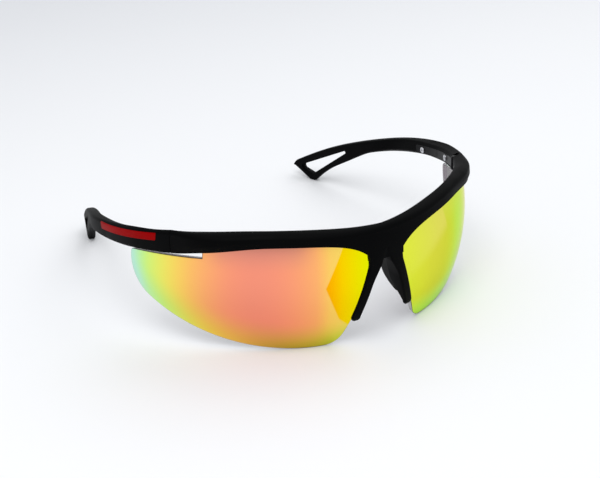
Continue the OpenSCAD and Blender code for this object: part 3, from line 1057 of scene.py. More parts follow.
    def lens_outline(self, grow: float) -> list[Flat]:
        """Draw the outline of a lens on the plane that touches it at its middle.

        Args:
            grow: How far outside the true outline.

        Returns:
            The points of the outline, anticlockwise.
        """
        s = self.lens
        belly = self.belly()
        outer_p = s.reach - s.outer_corner
        sink = math.sqrt((s.belly_radius - s.outer_corner) ** 2 - (outer_p - belly.x) ** 2)
        outer = Circle(outer_p, belly.y - sink, s.outer_corner)
        by_leg = []
        for z in s.leg_heights:
            angle = math.degrees(math.asin((self.leg_out(z) - s.seat) / s.face(0, z)))
            by_leg.append(self.drawn(angle, z))
        inner = Circle.through(*by_leg)
        under = [self.drawn(a, self.brow_under(a) + s.seat) for a in (*s.crest_angles, s.vent_angle)]
        crest = Circle.through(*under)
        vent = self.drawn(s.vent_angle, self.brow_under(s.vent_angle) - s.vent_height)
        tilt = s.free_fall
        free = Circle(vent[0] - s.free_r * sind(tilt), vent[1] - s.free_r * cosd(tilt), s.free_r)
        top_out = Circle.fillet(outer, free, s.top_outer_corner)
        top_in = Circle.fillet(crest, inner, s.top_inner_corner)
        low_in = Circle.fillet(inner, belly, s.inner_corner)
        step_free = 90 - math.degrees(math.asin((vent[0] + grow - free.x) / (free.r + grow)))
        step_crest = 90 - math.degrees(math.asin((vent[0] + grow - crest.x) / (crest.r + grow)))
        inner_from = inner.bearing(top_in) % 360
        inner_to = inner.bearing(low_in) % 360
        runs = (
            (top_out, outer.bearing(top_out), free.bearing(top_out)),
            (free, free.bearing(top_out), step_free),
            (free, step_free, step_free),
            (crest, step_crest, crest.bearing(top_in)),
            (top_in, crest.bearing(top_in), inner_from),
            (inner, inner_from, inner_to),
            (low_in, inner_to, belly.bearing(low_in)),
            (belly, belly.bearing(low_in), belly.bearing(outer)),
            (outer, belly.bearing(outer), outer.bearing(top_out)),
        )
        outline: list[Flat] = []
        for (circle, start, end), count in zip(runs, self.detail.lens_runs):
            turn = (end - start + 180) % 360 - 180
            rim = circle.grown(grow)
            outline.extend(rim.at(start + turn * k / count) for k in range(count))
        return outline

    def lens_point(self, flat: Flat, depth: float) -> Point:
        """Carry a point of the drawing plane onto the lens, a depth inside its outer face.

        Args:
            flat: The point on the drawing plane.
            depth: The distance inside the outer face.

        Returns:
            The point on the lens.
        """
        s = self.lens
        x = s.radius * sind(s.aim) + flat[0] * cosd(s.aim)
        y = -s.radius * cosd(s.aim) + flat[0] * sind(s.aim)
        z = flat[1]
        scale = (s.radius - depth) / math.sqrt(x * x + y * y + z * z)
        return (x * scale, y * scale + s.back, z * scale + s.centre_z)

    def origin_y(self) -> float:
        """Find the place of the head's axis, so that the footprint is centred.

        Returns:
            How far the axis lies from the shared origin.
        """
        g = self.leg
        n = self.detail
        heights = [blend(g.root_z, g.tip_z, k / n.leg_side) for k in range(-n.leg_over, n.leg_side + 1)]
        heights += [g.tip_z - g.width / 2 * sind(t) for t in n.leg_end]
        reach = []
        for z in heights:
            half = self.leg_wide(z) / 2
            a = self.leg_angle(z)
            aside = half - min(g.round, half - g.least_flat)
            face = self.lens.face(a, z, self.brow.lip - self.leg_sink(z))
            reach.append(aside * sind(a) + face * cosd(a))
        last = self.temple.length - self.temple.tip_round * self.temple.tip_short
        return (max(reach) - self.temple_at(last, 0)[1]) / 2


class Shop:
    """Makes mesh objects from forms in millimetres about the axis of the head."""

    def __init__(self, origin_y: float) -> None:
        """Keep the place of the head's axis in the shared frame."""
        self.origin_y = origin_y

    def place(self, point: Point, side: Side) -> Vector:
        """Return a point in the shared frame, in metres."""
        return Vector((point[0] * side.value, point[1] + self.origin_y, point[2])) * MM

    def solid(self, name: str, points: Iterable[Point], faces: Sequence[Sequence[int]],
              side: Side) -> Object:
        """Make a mesh object.

        Args:
            name: The object's name.
            points: The points of the left-hand form.
            faces: The faces, as lists of point numbers.
            side: The side that the piece is for.

        Returns:
            The object, with its faces turned outwards.
        """
        mesh = bpy.data.meshes.new(name)
        mesh.from_pydata([self.place(p, side) for p in points], [], [list(f) for f in faces])
        work = bmesh.new()
        work.from_mesh(mesh)
        bmesh.ops.recalc_face_normals(work, faces=work.faces)
        work.to_mesh(mesh)
        work.free()
        thing = bpy.data.objects.new(name, mesh)
        bpy.context.scene.collection.objects.link(thing)
        return thing

    def loft(self, name: str, rings: Sequence[Sequence[Point]], side: Side = Side.LEFT) -> Object:
        """Make a closed solid through a list of rings.

        Args:
            name: The object's name.
            rings: The rings, all with the same number of points.
            side: The side that the piece is for.

        Returns:
            The object.
        """
        n = len(rings[0])
        faces: list[list[int]] = [list(range(n))]
        for k in range(len(rings) - 1):
            for i in range(n):
                j = (i + 1) % n
                faces.append([k * n + i, k * n + j, (k + 1) * n + j, (k + 1) * n + i])
        faces.append([(len(rings) - 1) * n + i for i in range(n)])
        return self.solid(name, [p for ring in rings for p in ring], faces, side)

    def combine(self, target: Object, tools: Sequence[Object], shaping: Shaping) -> None:
        """Unite a piece with other solids or cut them from it, and delete them.

        Args:
            target: The piece that changes.
            tools: The other solids.
            shaping: What they do to the piece.
        """
        for tool in tools:
            step = target.modifiers.new("shape", "BOOLEAN")
            step.operation = shaping.value
            step.solver = "EXACT"
            step.object = tool
            bpy.context.view_layer.update()
            done = target.evaluated_get(bpy.context.evaluated_depsgraph_get())
            mesh = bpy.data.meshes.new_from_object(done)
            target.modifiers.clear()
            old = target.data
            target.data = mesh
            bpy.data.meshes.remove(old)
            spent = tool.data
            bpy.data.objects.remove(tool)
            bpy.data.meshes.remove(spent)
        target.data.name = target.name


class Tree:
    """A small helper that adds and joins shader nodes."""

    def __init__(self, nodes: NodeTree) -> None:
        """Keep the node tree."""
        self.tree = nodes

    def add(self, kind: str, **settings: object) -> Node:
        """Add a node and set its properties.

        Args:
            kind: The type of the node.
            **settings: Values for its properties.

        Returns:
            The node.
        """
        node = self.tree.nodes.new(kind)
        for key, value in settings.items():
            setattr(node, key, value)
        return node

    def feed(self, socket: NodeSocket, value: object) -> None:
        """Join an output to an input, or set the input's own value.

        Args:
            socket: The input.
            value: An output or a plain value.
        """
        if isinstance(value, NodeSocket):
            self.tree.links.new(value, socket)
        else:
            socket.default_value = value

    def fill(self, node: Node, **values: object) -> Node:
        """Feed several inputs of a node.

        Args:
            node: The node.
            **values: Outputs or values by the inputs' names, with underscores for spaces.

        Returns:
            The node.
        """
        for label, value in values.items():
            self.feed(node.inputs[label.replace("_", " ")], value)
        return node

    def math(self, operation: str, *values: object, clamp: bool = False) -> NodeSocket:
        """Add a Math node.

        Args:
            operation: The sum to do.
            *values: Numbers or outputs.
            clamp: Whether the result is kept between 0 and 1.

        Returns:
            The node's output.
        """
        node = self.add("ShaderNodeMath", operation=operation, use_clamp=clamp)
        for socket, value in zip(node.inputs, values):
            self.feed(socket, value)
        return node.outputs[0]

    def vector(self, operation: str, output: str, *values: object) -> NodeSocket:
        """Add a Vector Math node.

        Args:
            operation: The sum to do.
            output: The name of the output to use.
            *values: Vectors or outputs.

        Returns:
            The chosen output.
        """
        node = self.add("ShaderNodeVectorMath", operation=operation)
        for socket, value in zip(node.inputs, values):
            self.feed(socket, value)
        return node.outputs[output]

    def mix(self, factor: object, first: object, second: object) -> NodeSocket:
        """Mix two colours.

        Args:
            factor: The share of the second colour.
            first: The first colour, as an output or in linear light.
            second: The second colour.

        Returns:
            The mixed colour.
        """
        node = self.add("ShaderNodeMix", data_type="RGBA", clamp_factor=True)
        self.feed(node.inputs[0], factor)
        for socket, colour in ((node.inputs[6], first), (node.inputs[7], second)):
            self.feed(socket, (*colour, 1.0) if isinstance(colour, tuple) else colour)
        return node.outputs[2]

    def remap(self, value: object, low: float, high: float, to_low: float = 0.0, to_high: float = 1.0,
              soft: bool = True) -> NodeSocket:
        """Add a Map Range node.

        Args:
            value: The number to map.
            low: The start of its range.
            high: The end of its range.
            to_low: The result at the start.
            to_high: The result at the end.
            soft: Whether the change is smooth.

        Returns:
            The mapped number.
        """
        node = self.add("ShaderNodeMapRange", interpolation_type="SMOOTHSTEP" if soft else "LINEAR")
        for socket, item in zip(node.inputs, (value, low, high, to_low, to_high)):
            self.feed(socket, item)
        return node.outputs[0]

    def noise(self, place: object, scale: object, detail: float = 2.0,
              distortion: float = 0.0) -> NodeSocket:
        """Add a Noise Texture node, whose scale is in features per metre, and return the noise."""
        node = self.add("ShaderNodeTexNoise")
        return self.fill(node, Vector=place, Scale=scale, Detail=detail, Distortion=distortion).outputs[0]

    def ramp(self, value: object, stops: Sequence[tuple[float, Colour]]) -> NodeSocket:
        """Add a Color Ramp node.

        Args:
            value: The number that picks the colour.
            stops: The places, from 0 to 1, and their colours.

        Returns:
            The colour.
        """
        node = self.add("ShaderNodeValToRGB")
        band = node.color_ramp
        band.interpolation = "B_SPLINE"
        while len(band.elements) < len(stops):
            band.elements.new(0.5)
        for element, (place, colour) in zip(band.elements, stops):
            element.position = place
            element.color = (*colour, 1.0)
        self.feed(node.inputs[0], value)
        return node.outputs[0]


class Effects:
    """Shader node groups that more than one finish uses. Each is built once."""

    cell_share: float = 0.6
    blotches: float = 90.0
    smear_edges: Flat = (0.42, 0.68)

    def __init__(self) -> None:
        """Build the groups."""
        self.grain = self._grain()
        self.handling = self._handling()
        self.plane = self._plane()
        self.beyond = self._beyond()

    def _start(self, name: str, inputs: dict[str, object],
               outputs: Sequence[str]) -> tuple[NodeTree, Tree, Node, Node]:
        """Begin a node group.

        Args:
            name: The group's name.
            inputs: The name and usual value of each input. Only a vector may have none.
            outputs: The name of each output, which is a number.

        Returns:
            The group, its helper, its input node and its output node.
        """
        group = bpy.data.node_groups.new(name, "ShaderNodeTree")
        for label, value in inputs.items():
            kind = "NodeSocketFloat" if isinstance(value, float) else "NodeSocketVector"
            socket = group.interface.new_socket(label, in_out="INPUT", socket_type=kind)
            if value is not None:
                socket.default_value = value
        for label in outputs:
            group.interface.new_socket(label, in_out="OUTPUT", socket_type="NodeSocketFloat")
        tree = Tree(group)
        return group, tree, tree.add("NodeGroupInput"), tree.add("NodeGroupOutput")

    def _grain(self) -> NodeTree:
        """Build the fine grain of a moulded or coated surface.

        Returns:
            The group.
        """
        inputs = {"Position": None, "Grain Size": 0.0002, "Unevenness": 0.3}
        group, tree, given, result = self._start("fine_grain", inputs, ("Height", "Mottle"))
        place = given.outputs["Position"]
        scale = tree.math("DIVIDE", 1.0, given.outputs["Grain Size"])
        fine = tree.noise(place, scale)
        cells = tree.add("ShaderNodeTexVoronoi")
        tree.fill(cells, Vector=place, Scale=tree.math("MULTIPLY", scale, self.cell_share))
        broad = tree.noise(place, self.blotches, detail=3.0)
        bumps = tree.math("MULTIPLY", cells.outputs["Distance"], 0.5)
        spread = tree.math("SUBTRACT", broad, 0.5)
        uneven = tree.math("MULTIPLY", spread, given.outputs["Unevenness"])
        mottle = tree.math("ADD", uneven, 0.5, clamp=True)
        tree.fill(result, Height=tree.math("ADD", fine, bumps), Mottle=mottle)
        return group

    def _handling(self) -> NodeTree:
        """Build the soft smears that fingers leave on a surface.

        Returns:
            The group.
        """
        inputs = {"Position": None, "Size": 0.02, "Amount": 0.5}
        group, tree, given, result = self._start("handling_marks", inputs, ("Marks",))
        scale = tree.math("DIVIDE", 1.0, given.outputs["Size"])
        smear = tree.noise(given.outputs["Position"], scale, detail=4.0, distortion=0.6)
        patchy = tree.remap(smear, *self.smear_edges)
        tree.fill(result, Marks=tree.math("MULTIPLY", patchy, given.outputs["Amount"], clamp=True))
        return group

    def _plane(self) -> NodeTree:
        """Build the coordinates of the plane that touches a lens at its middle, in millimetres.

        Returns:
            The group.
        """
        inputs = {"Position": None, "Centre": (0.0, 0.0, 0.0), "Aim": (0.0, -1.0, 0.0),
                  "Across": (1.0, 0.0, 0.0), "Radius": 74.7}
        group, tree, given, result = self._start("lens_plane", inputs, ("P", "Q"))
        ray = tree.vector("SUBTRACT", "Vector", given.outputs["Position"], given.outputs["Centre"])
        ahead = tree.vector("DOT_PRODUCT", "Value", ray, given.outputs["Aim"])
        aside = tree.vector("DOT_PRODUCT", "Value", ray, given.outputs["Across"])
        above = tree.vector("DOT_PRODUCT", "Value", ray, (0.0, 0.0, 1.0))
        scale = tree.math("DIVIDE", given.outputs["Radius"], ahead)
        tree.fill(result, P=tree.math("MULTIPLY", aside, scale), Q=tree.math("MULTIPLY", above, scale))
        return group

    def _beyond(self) -> NodeTree:
        """Build the soft-edged mask of what lies beyond a line on the lens's drawing plane.

        Returns:
            The group.
        """
        inputs = {"P": 0.0, "Q": 0.0, "Through P": 0.0, "Through Q": 0.0, "Slant": 0.0, "Softness": 1.0}
        group, tree, given, result = self._start("beyond_line", inputs, ("Mask",))
        rise = tree.math("SUBTRACT", given.outputs["Q"], given.outputs["Through Q"])
        line = tree.math("MULTIPLY_ADD", rise, given.outputs["Slant"], given.outputs["Through P"])
        past = tree.math("SUBTRACT", line, given.outputs["P"])
        tree.fill(result, Mask=tree.remap(past, 0.0, given.outputs["Softness"]))
        return group

    def use(self, tree: Tree, group: NodeTree, **values: object) -> Node:
        """Place a group in a material, fill its inputs and return it."""
        return tree.fill(tree.add("ShaderNodeGroup", node_tree=group), **values)


def new_finish(name: str) -> tuple[Material, Tree, Node, NodeSocket]:
    """Begin a material.

    Args:
        name: The material's name.

    Returns:
        The material, its helper, its Principled shader and the position on the resting object.
    """
    material = bpy.data.materials.new(name)
    material.use_nodes = True
    tree = Tree(material.node_tree)
    shader = material.node_tree.nodes["Principled BSDF"]
    place = tree.add("ShaderNodeTexCoord").outputs["Object"]
    return material, tree, shader, place


@dataclass(frozen=True)
class Finish:
    """What the plain finishes share: a grain that mottles the colour, and marks that change the gloss.

    The grain's size comes with its unevenness, the marks' size with their amount, and the bump's strength
    with its distance. The roughness is given for clean and for handled places.
    """

    name: str
    dark: Colour
    light: Colour
    roughness: Flat
    specular: float = 0.5
    grain: Flat = (0.0002, 1.0)
    marks: Flat = (0.02, 0.5)
    bump: Flat = (0.0, 0.0)
    along: Point = (1.0, 1.0, 1.0)
    metallic: float = 0.0
    alpha: float = 1.0
    sheen: float = 0.0
    sheen_roughness: float = 0.4
    tint: Colour = (1.0, 1.0, 1.0)

    def build(self, effects: Effects) -> Material:
        """Make the material.

        Args:
            effects: The shared node groups.

        Returns:
            The material.
        """
        material, tree, shader, place = new_finish(self.name)
        laid = tree.vector("MULTIPLY", "Vector", place, self.along)
        size, uneven = self.grain
        grain = effects.use(tree, effects.grain, Position=laid, Grain_Size=size, Unevenness=uneven)
        size, amount = self.marks
        marks = effects.use(tree, effects.handling, Position=place, Size=size, Amount=amount)
        tree.fill(
            shader,
            Base_Color=tree.mix(grain.outputs["Mottle"], self.dark, self.light),
            Roughness=tree.remap(marks.outputs["Marks"], 0.0, 1.0, *self.roughness),
            Metallic=self.metallic,
            Alpha=self.alpha,
            Specular_IOR_Level=self.specular,
            Specular_Tint=(*self.tint, 1.0),
            Sheen_Weight=self.sheen,
            Sheen_Roughness=self.sheen_roughness,
        )
        strength, distance = self.bump
        if strength:
            bump = tree.add("ShaderNodeBump")
            tree.fill(bump, Strength=strength, Distance=distance, Height=grain.outputs["Height"])
            tree.feed(shader.inputs["Normal"], bump.outputs[0])
        return material


@dataclass(frozen=True)
class SoftTouch(Finish):
    """A matte coating that feels like rubber."""

    grain: Flat = (0.00016, 1.2)
    marks: Flat = (0.018, 0.6)
    bump: Flat = (0.35, 0.00001)


@dataclass(frozen=True)
class GlossPaint(Finish):
    """A smooth coloured inlay under a clear gloss."""

    roughness: Flat = (0.36, 0.48)
    specular: float = 0.03
    grain: Flat = (0.0004, 0.8)
    marks: Flat = (0.012, 0.5)
    tint: Colour = (1.0, 0.2, 0.2)


@dataclass(frozen=True)
class Metal(Finish):
    """A bare or blackened metal with fine brushing along Z."""

    grain: Flat = (0.00008, 1.0)
    marks: Flat = (0.004, 0.5)
    bump: Flat = (0.25, 0.000004)
    along: Point = (1.0, 1.0, 0.08)
    metallic: float = 1.0


@dataclass(frozen=True)
class TintedBody(Finish):
    """The see-through tinted body of a lens, for its inside and its edge."""

    specular: float = 0.35
    grain: Flat = (0.001, 0.4)
    marks: Flat = (0.02, 0.4)


@dataclass(frozen=True)
class MirrorCoat:
    """The coloured mirror coating on the outside of a lens, whose tint changes over the lens. The tints are
    a painted reflection: fixed colours for what the coating reflects towards one viewpoint.

    Places on the lens are given in millimetres on its drawing plane, P outwards from its middle and Q up.
    A line is given by the point that it goes through, its slant and the softness of its edge.
    """

    name: str
    side: Side
    across: Sequence[tuple[float, Colour]]
    rim: Sequence[tuple[float, Colour]]
    patch: Sequence[tuple[float, Colour]]
    lines: Sequence[tuple[float, float, float, float]]
    # The tint of the painted shade and reflection of the brow, laid over the top of the lens.
    upper: Colour
    grazing: Colour
    rim_width: float = 16.0
    rim_strength: float = 0.92
    span: Flat = (-62.0, 48.0)
    drift_scale: float = 38.0
    drift: float = 4.0
    # Painted shade and reflection of the brow: its strength, and where it rises and fades over the lens.
    crown: float = 0.6
    brow_reflection_rise: Flat = (6.0, 18.0)
    crown_from: Flat = (-36.0, -24.0)
    brow_reflection_until: Flat = (12.0, 0.0)
    marks: Flat = (0.03, 0.5)
    roughness: Flat = (0.16, 0.22)
    see_through: float = 0.5

    def _ramp(self, tree: Tree, p: NodeSocket,
              stops: Sequence[tuple[float, Colour]]) -> NodeSocket:
        """Colour the lens by the place across it.

        Args:
            tree: The material's helper.
            p: The place across.
            stops: The places and their colours.

        Returns:
            The colour.
        """
        low, high = self.span
        share = tree.remap(p, low, high, soft=False)
        return tree.ramp(share, [((at - low) / (high - low), tint) for at, tint in stops])

    def _above_rim(self, tree: Tree, p: NodeSocket, q: NodeSocket,
                   belly: Circle) -> NodeSocket:
        """Measure the height above the lens's lower edge.

        Args:
            tree: The material's helper.
            p: The place across.
            q: The place up.
            belly: The circle of the lower edge.

        Returns:
            The height.
        """
        off = tree.math("SUBTRACT", p, belly.x)
        drop = tree.math("SQRT", tree.math("SUBTRACT", belly.r**2, tree.math("MULTIPLY", off, off)))
        return tree.math("SUBTRACT", q, tree.math("SUBTRACT", belly.y, drop))

    def build(self, effects: Effects, form: Form, origin_y: float) -> Material:
        """Make the material.

        Args:
            effects: The shared node groups.
            form: The shared curves.
            origin_y: The place of the head's axis in the shared frame.

        Returns:
            The material.
        """
        material, tree, shader, place = new_finish(self.name)
        lens = form.lens
        sign = self.side.value
        plane = effects.use(
            tree,
            effects.plane,
            Position=place,
            Centre=(0.0, (lens.back + origin_y) * MM, lens.centre_z * MM),
            Aim=(sign * sind(lens.aim), -cosd(lens.aim), 0.0),
            Across=(sign * cosd(lens.aim), sind(lens.aim), 0.0),
            Radius=lens.radius,
        )
        p = plane.outputs["P"]
        q = plane.outputs["Q"]
        noise = tree.math("SUBTRACT", tree.noise(place, self.drift_scale, detail=1.0), 0.5)
        sway = tree.math("MULTIPLY", noise, self.drift)
        # Painted reflection: the coating's colour across the lens, as it reflects towards one viewpoint.
        colour = self._ramp(tree, tree.math("ADD", p, sway), self.across)
        # Painted shade and reflection of the brow: the top of the lens is tinted towards upper.
        crown = tree.remap(q, *self.brow_reflection_rise, 0.0, self.crown)
        for fade in (self.crown_from, self.brow_reflection_until):
            crown = tree.math("MULTIPLY", crown, tree.remap(p, *fade))
        colour = tree.mix(crown, colour, self.upper)
        above = self._above_rim(tree, p, q, form.belly())
        rim = tree.remap(above, 0.0, self.rim_width, self.rim_strength, 0.0)
        colour = tree.mix(rim, colour, self._ramp(tree, p, self.rim))
        mask: object = 1.0
        for at_p, at_q, slant, softness in self.lines:
            line = effects.use(tree, effects.beyond, P=p, Q=q, Through_P=at_p, Through_Q=at_q, Slant=slant,
                               Softness=softness)
            mask = tree.math("MULTIPLY", mask, line.outputs["Mask"])
        size, amount = self.marks
        marks = effects.use(tree, effects.handling, Position=place, Size=size, Amount=amount)
        seen_from_behind = tree.add("ShaderNodeNewGeometry").outputs["Backfacing"]
        solidity = tree.math("MULTIPLY_ADD", seen_from_behind, -self.see_through, 1.0)
        tree.fill(
            shader,
            Base_Color=tree.mix(mask, colour, self._ramp(tree, p, self.patch)),
            Metallic=1.0,
            Specular_Tint=(*self.grazing, 1.0),
            Roughness=tree.remap(marks.outputs["Marks"], 0.0, 1.0, *self.roughness),
            Alpha=solidity,
        )
        return material


AQUA = linear(184, 236, 230)
MINT = linear(188, 242, 166)
LIME = linear(207, 246, 121)
LEMON = linear(241, 234, 97)
GOLD = linear(255, 205, 98)
PEACH = linear(255, 176, 109)
CORAL = linear(252, 152, 119)
SALMON = linear(244, 146, 121)
AMBER = linear(255, 164, 0)
SUN = linear(254, 210, 0)
ACID = linear(226, 238, 0)
STEEL = (0.62, 0.62, 0.65)
BLACKENED = (0.006, 0.006, 0.007)
DARK_STEEL = (0.012, 0.012, 0.013)
METAL_SHADE = 0.8
SMOKE = linear(104, 88, 98)
EDGE = linear(24, 26, 24)
CLEAR = linear(222, 221, 223)
TINT_SHINE = 1.15


@dataclass
class Finishes:
    """Every material of the sunglasses."""

    effects: Effects
    form: Form
    origin_y: float

    def __post_init__(self) -> None:
        """Build the materials."""
        soft_black = ((0.0004, 0.0005, 0.0006), (0.0012, 0.0013, 0.0016))
        rubber = ((0.012, 0.012, 0.0122), (0.027, 0.027, 0.0272))
        smoke = (SMOKE, scaled(SMOKE, TINT_SHINE))
        edge = (EDGE, scaled(EDGE, TINT_SHINE))
        clear = (CLEAR, scaled(CLEAR, TINT_SHINE))
        steel = (scaled(STEEL, METAL_SHADE), STEEL)
        blackened = (scaled(BLACKENED, METAL_SHADE), BLACKENED)
        dark_steel = (scaled(DARK_STEEL, METAL_SHADE), DARK_STEEL)
        red = (linear(134, 0, 1), linear(156, 0, 2))
        self.frame = self._make(SoftTouch("soft_touch_black", *soft_black, roughness=(0.56, 0.42),
                                          specular=0.035, sheen=0.005))
        self.pad = self._make(SoftTouch("pad_rubber", *rubber, roughness=(0.68, 0.54), specular=0.09,
                                        grain=(0.0003, 1.2), bump=(0.35, 0.00002), sheen=0.03))
        self.strip = self._make(GlossPaint("strip_red", *red))
        self.steel = self._make(Metal("screw_steel", *steel, roughness=(0.23, 0.36)))
        self.leaf = self._make(Metal("blackened_leaf", *blackened, roughness=(0.4, 0.53)))
        self.dark_steel = self._make(Metal("blackened_screw", *dark_steel, roughness=(0.35, 0.48)))
        self.lens_back = self._make(TintedBody("lens_inside", *smoke, roughness=(0.14, 0.22), alpha=0.9))
        self.lens_edge = self._make(TintedBody("lens_edge", *edge, roughness=(0.3, 0.38)))
        self.lens_clear = self._make(TintedBody("lens_clear_edge", *clear, roughness=(0.25, 0.33),
                                                alpha=0.5))
        self.mirrors = {
            coat.side: coat.build(self.effects, self.form, self.origin_y)
            for coat in (self._right_coat(), self._left_coat())
        }

    def _make(self, finish: Finish) -> Material:
        """Return the material of a plain finish."""
        return finish.build(self.effects)

    def _right_coat(self) -> MirrorCoat:
        """Choose the colours of the right lens, from aqua at the temple to amber by the nose.

        Returns:
            The coating.
        """
        across = ((-60.0, LEMON), (-40.0, GOLD), (-34.0, PEACH), (-22.0, CORAL), (-10.0, SALMON),
                  (0.0, CORAL), (9.0, PEACH), (17.0, GOLD), (26.0, LEMON), (35.0, LIME), (41.0, MINT),
                  (47.0, AQUA))
        rim = ((-52.0, linear(190, 220, 56)), (-44.0, linear(192, 212, 58)), (-34.0, linear(202, 190, 52)),
               (-22.0, linear(202, 172, 52)), (-14.0, linear(206, 168, 64)), (-3.0, linear(234, 178, 80)),
               (12.0, linear(237, 209, 72)), (26.0, linear(190, 236, 112)), (36.0, MINT), (42.0, AQUA))
        patch = ((-60.0, ACID), (-46.0, SUN), (-38.0, AMBER))
        lines = ((-46.4, 16.7, -0.515, 0.7), (-37.8, -1.3, 0.41, 0.7), (-42.3, -15.3, 1.08, 1.2))
        # A darker tint for the painted shade and reflection of the brow.
        upper = linear(204, 136, 122)
        return MirrorCoat("mirror_right", Side.RIGHT, across, rim, patch, lines, upper, (1.0, 0.85, 0.6))

    def _left_coat(self) -> MirrorCoat:
        """Choose the colours of the left lens, which leans to lime by the nose: a painted reflection, the
        colour that the coating shows where it is seen at a grazing angle.

        Returns:
            The coating.
        """
        across = ((-60.0, linear(222, 236, 56)), (-44.0, linear(224, 226, 62)),
                  (-30.0, linear(216, 210, 72)), (-20.0, linear(206, 218, 56)),
                  (-12.0, linear(176, 234, 100)), (2.0, linear(206, 214, 96)),
                  (14.0, PEACH), (26.0, LEMON), (38.0, MINT), (47.0, AQUA))
        rim = ((-56.0, linear(206, 252, 98)), (-36.0, linear(204, 255, 110)),
               (-16.0, linear(196, 255, 182)), (20.0, LIME), (40.0, MINT))
        patch = ((-60.0, linear(226, 236, 60)), (-40.0, linear(226, 226, 84)),
                 (-26.0, linear(226, 216, 100)))
        lines = ((-22.6, 4.0, -0.3, 1.5), (-30.0, 2.0, 2.2, 16.0))
        # The tint of the painted shade and reflection of the brow on this lens.
        upper = linear(218, 222, 90)
        return MirrorCoat("mirror_left", Side.LEFT, across, rim, patch, lines, upper, (0.9, 0.95, 0.5))


@dataclass(frozen=True)
class Band:
    """A curved bar with rounded corners that lies in a temple's arc.

    Its insets are how far its outer and inner faces lie inside the temple's outer face, and its run is the
    distances from the joint of its ends. The height z0 is its centre line's, carried forward to the joint.
    """

    insets: Flat
    run: Flat
    z0: float
    height: float
    corner: float
    bevel: float = 0.0
    slant: float = 0.0
    follows_roll: bool = False
    bevel_most: float = 0.4
    face_at: float = 0.6
    least_half: float = 0.05

    def section(self, half: float, count: int) -> list[Flat]:
        """Draw the section across the bar, with a bevel along its outer face.

        Args:
            half: Half of its height at this place.
            count: The number of intervals in the bevel.

        Returns:
            The height above the centre line and the inset of each point.
        """
        outer, inner = self.insets
        b = min(self.bevel, half * self.bevel_most)
        turns = steps(0, 90, count) if self.bevel else [0]
        edge = [(half - b + b * cosd(t), outer + b - b * sind(t)) for t in turns]
        shares = (self.face_at, 0.0, -self.face_at) if self.bevel else (1.0, -1.0)
        face = [(half * share, outer) for share in shares]
        return [(-half, inner), (half, inner)] + edge + face + [(-q, inset) for q, inset in reversed(edge)]


@dataclass(frozen=True)
class Builder:
    """What every sub-assembly's builder needs: the curves, the mesh shop and the materials."""

    form: Form
    shop: Shop
    finishes: Finishes

    def dress(self, thing: Object, material: Material, slot: str, body: Body,
              nodes: Sequence[str], crease: float = 32.0) -> None:
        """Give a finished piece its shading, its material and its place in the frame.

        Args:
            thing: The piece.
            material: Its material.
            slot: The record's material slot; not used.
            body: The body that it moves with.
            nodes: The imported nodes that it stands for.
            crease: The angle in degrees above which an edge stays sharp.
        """
        thing.data.shade_smooth()
        thing.data.set_sharp_from_angle(angle=math.radians(crease))
        if not thing.data.materials:
            thing.data.materials.append(material)
            for face in thing.data.polygons:
                face.material_index = 0
        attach(thing, body.value)
        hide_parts(*nodes)
        LOG.info("%s: %d faces, moves with %s", thing.name, len(thing.data.polygons), body.value)

    def hinge_point(self, x: float, y: float, z: float) -> Point:
        """Find a point given outwards, rearwards and upwards from the middle of the left hinge.

        Args:
            x: The distance outwards.
            y: The distance rearwards.
            z: The distance upwards.

        Returns:
            The point.
        """
        seam = self.form.brow.seam_angle
        r = self.form.brow_in(seam) + self.form.hinge.axis_inset + x
        return (r * sind(seam) + y * cosd(seam), -r * cosd(seam) + y * sind(seam), self.form.hinge_z + z)

    def recess(self, height: float, radius: float, lift: float, side: Side) -> Object:
        """Make the solid that hollows out the room of the hinge, open towards the head.

        Args:
            height: Its height.
            radius: Its radius about the hinge.
            lift: How far its middle lies above the hinge's.
            side: The side that it is for.

        Returns:
            The cutting solid.
        """
        n = self.form.detail.recess
        flat = arc(0, 0, radius, -90, 90, n)
        flat += arc(-2 * self.form.hinge.axis_inset, 0, radius, 90, 270, n)
        levels = (lift - height / 2, lift + height / 2)
        rings = [[self.hinge_point(x, y, z) for x, y in flat] for z in levels]
        return self.shop.loft("hinge_recess", rings, side)

    def hinge_room(self, side: Side) -> list[Object]:
        """Make both solids that hollow out the room of a hinge.

        Args:
            side: The side that it is for.

        Returns:
            The cutting solids.
        """
        h = self.form.hinge
        tall = h.height + 2 * h.barrel_room + h.head_h
        return [
            self.recess(tall, h.barrel_r + h.barrel_room, h.head_h / 2, side),
            self.recess(3 * h.height, h.fold_room, 0, side),
        ]

    def band(self, name: str, bar: Band, side: Side) -> Object:
        """Make a curved bar that lies in a temple's arc.

        Args:
            name: The object's name.
            bar: Its sizes.
            side: The side that it is for.

        Returns:
            The bar.
        """
        form = self.form
        fall = form.temple.fall
        middle = (bar.run[0] + bar.run[1]) / 2
        length = form.band_length(*bar.run)
        straight = length / 2 - bar.corner
        n = form.detail
        end = [straight + bar.corner * sind(t) for t in steps(0, 90, n.band_end)]
        rings = []
        for p in [-p for p in reversed(end)] + steps(-straight, straight, n.band_straight)[1:-1] + end:
            into = max(0.0, abs(p) - straight)
            half = max(bar.least_half, bar.height / 2 - bar.corner + root(bar.corner**2 - into**2))
            u = middle + p * cosd(math.degrees(math.atan(fall)))
            ring = []
            for q, inset in bar.section(half, n.bevel):
                if bar.follows_roll and inset < bar.insets[0] + bar.bevel:
                    inset += form.roll_inset(u, bar.z0 - fall * u + q)
                lean = bar.slant * q * eased(-p, 0, length / 2)
                ring.append(form.band_point(middle, p - lean, q, bar.z0, inset))
            rings.append(ring)
        return self.shop.loft(name, rings, side)


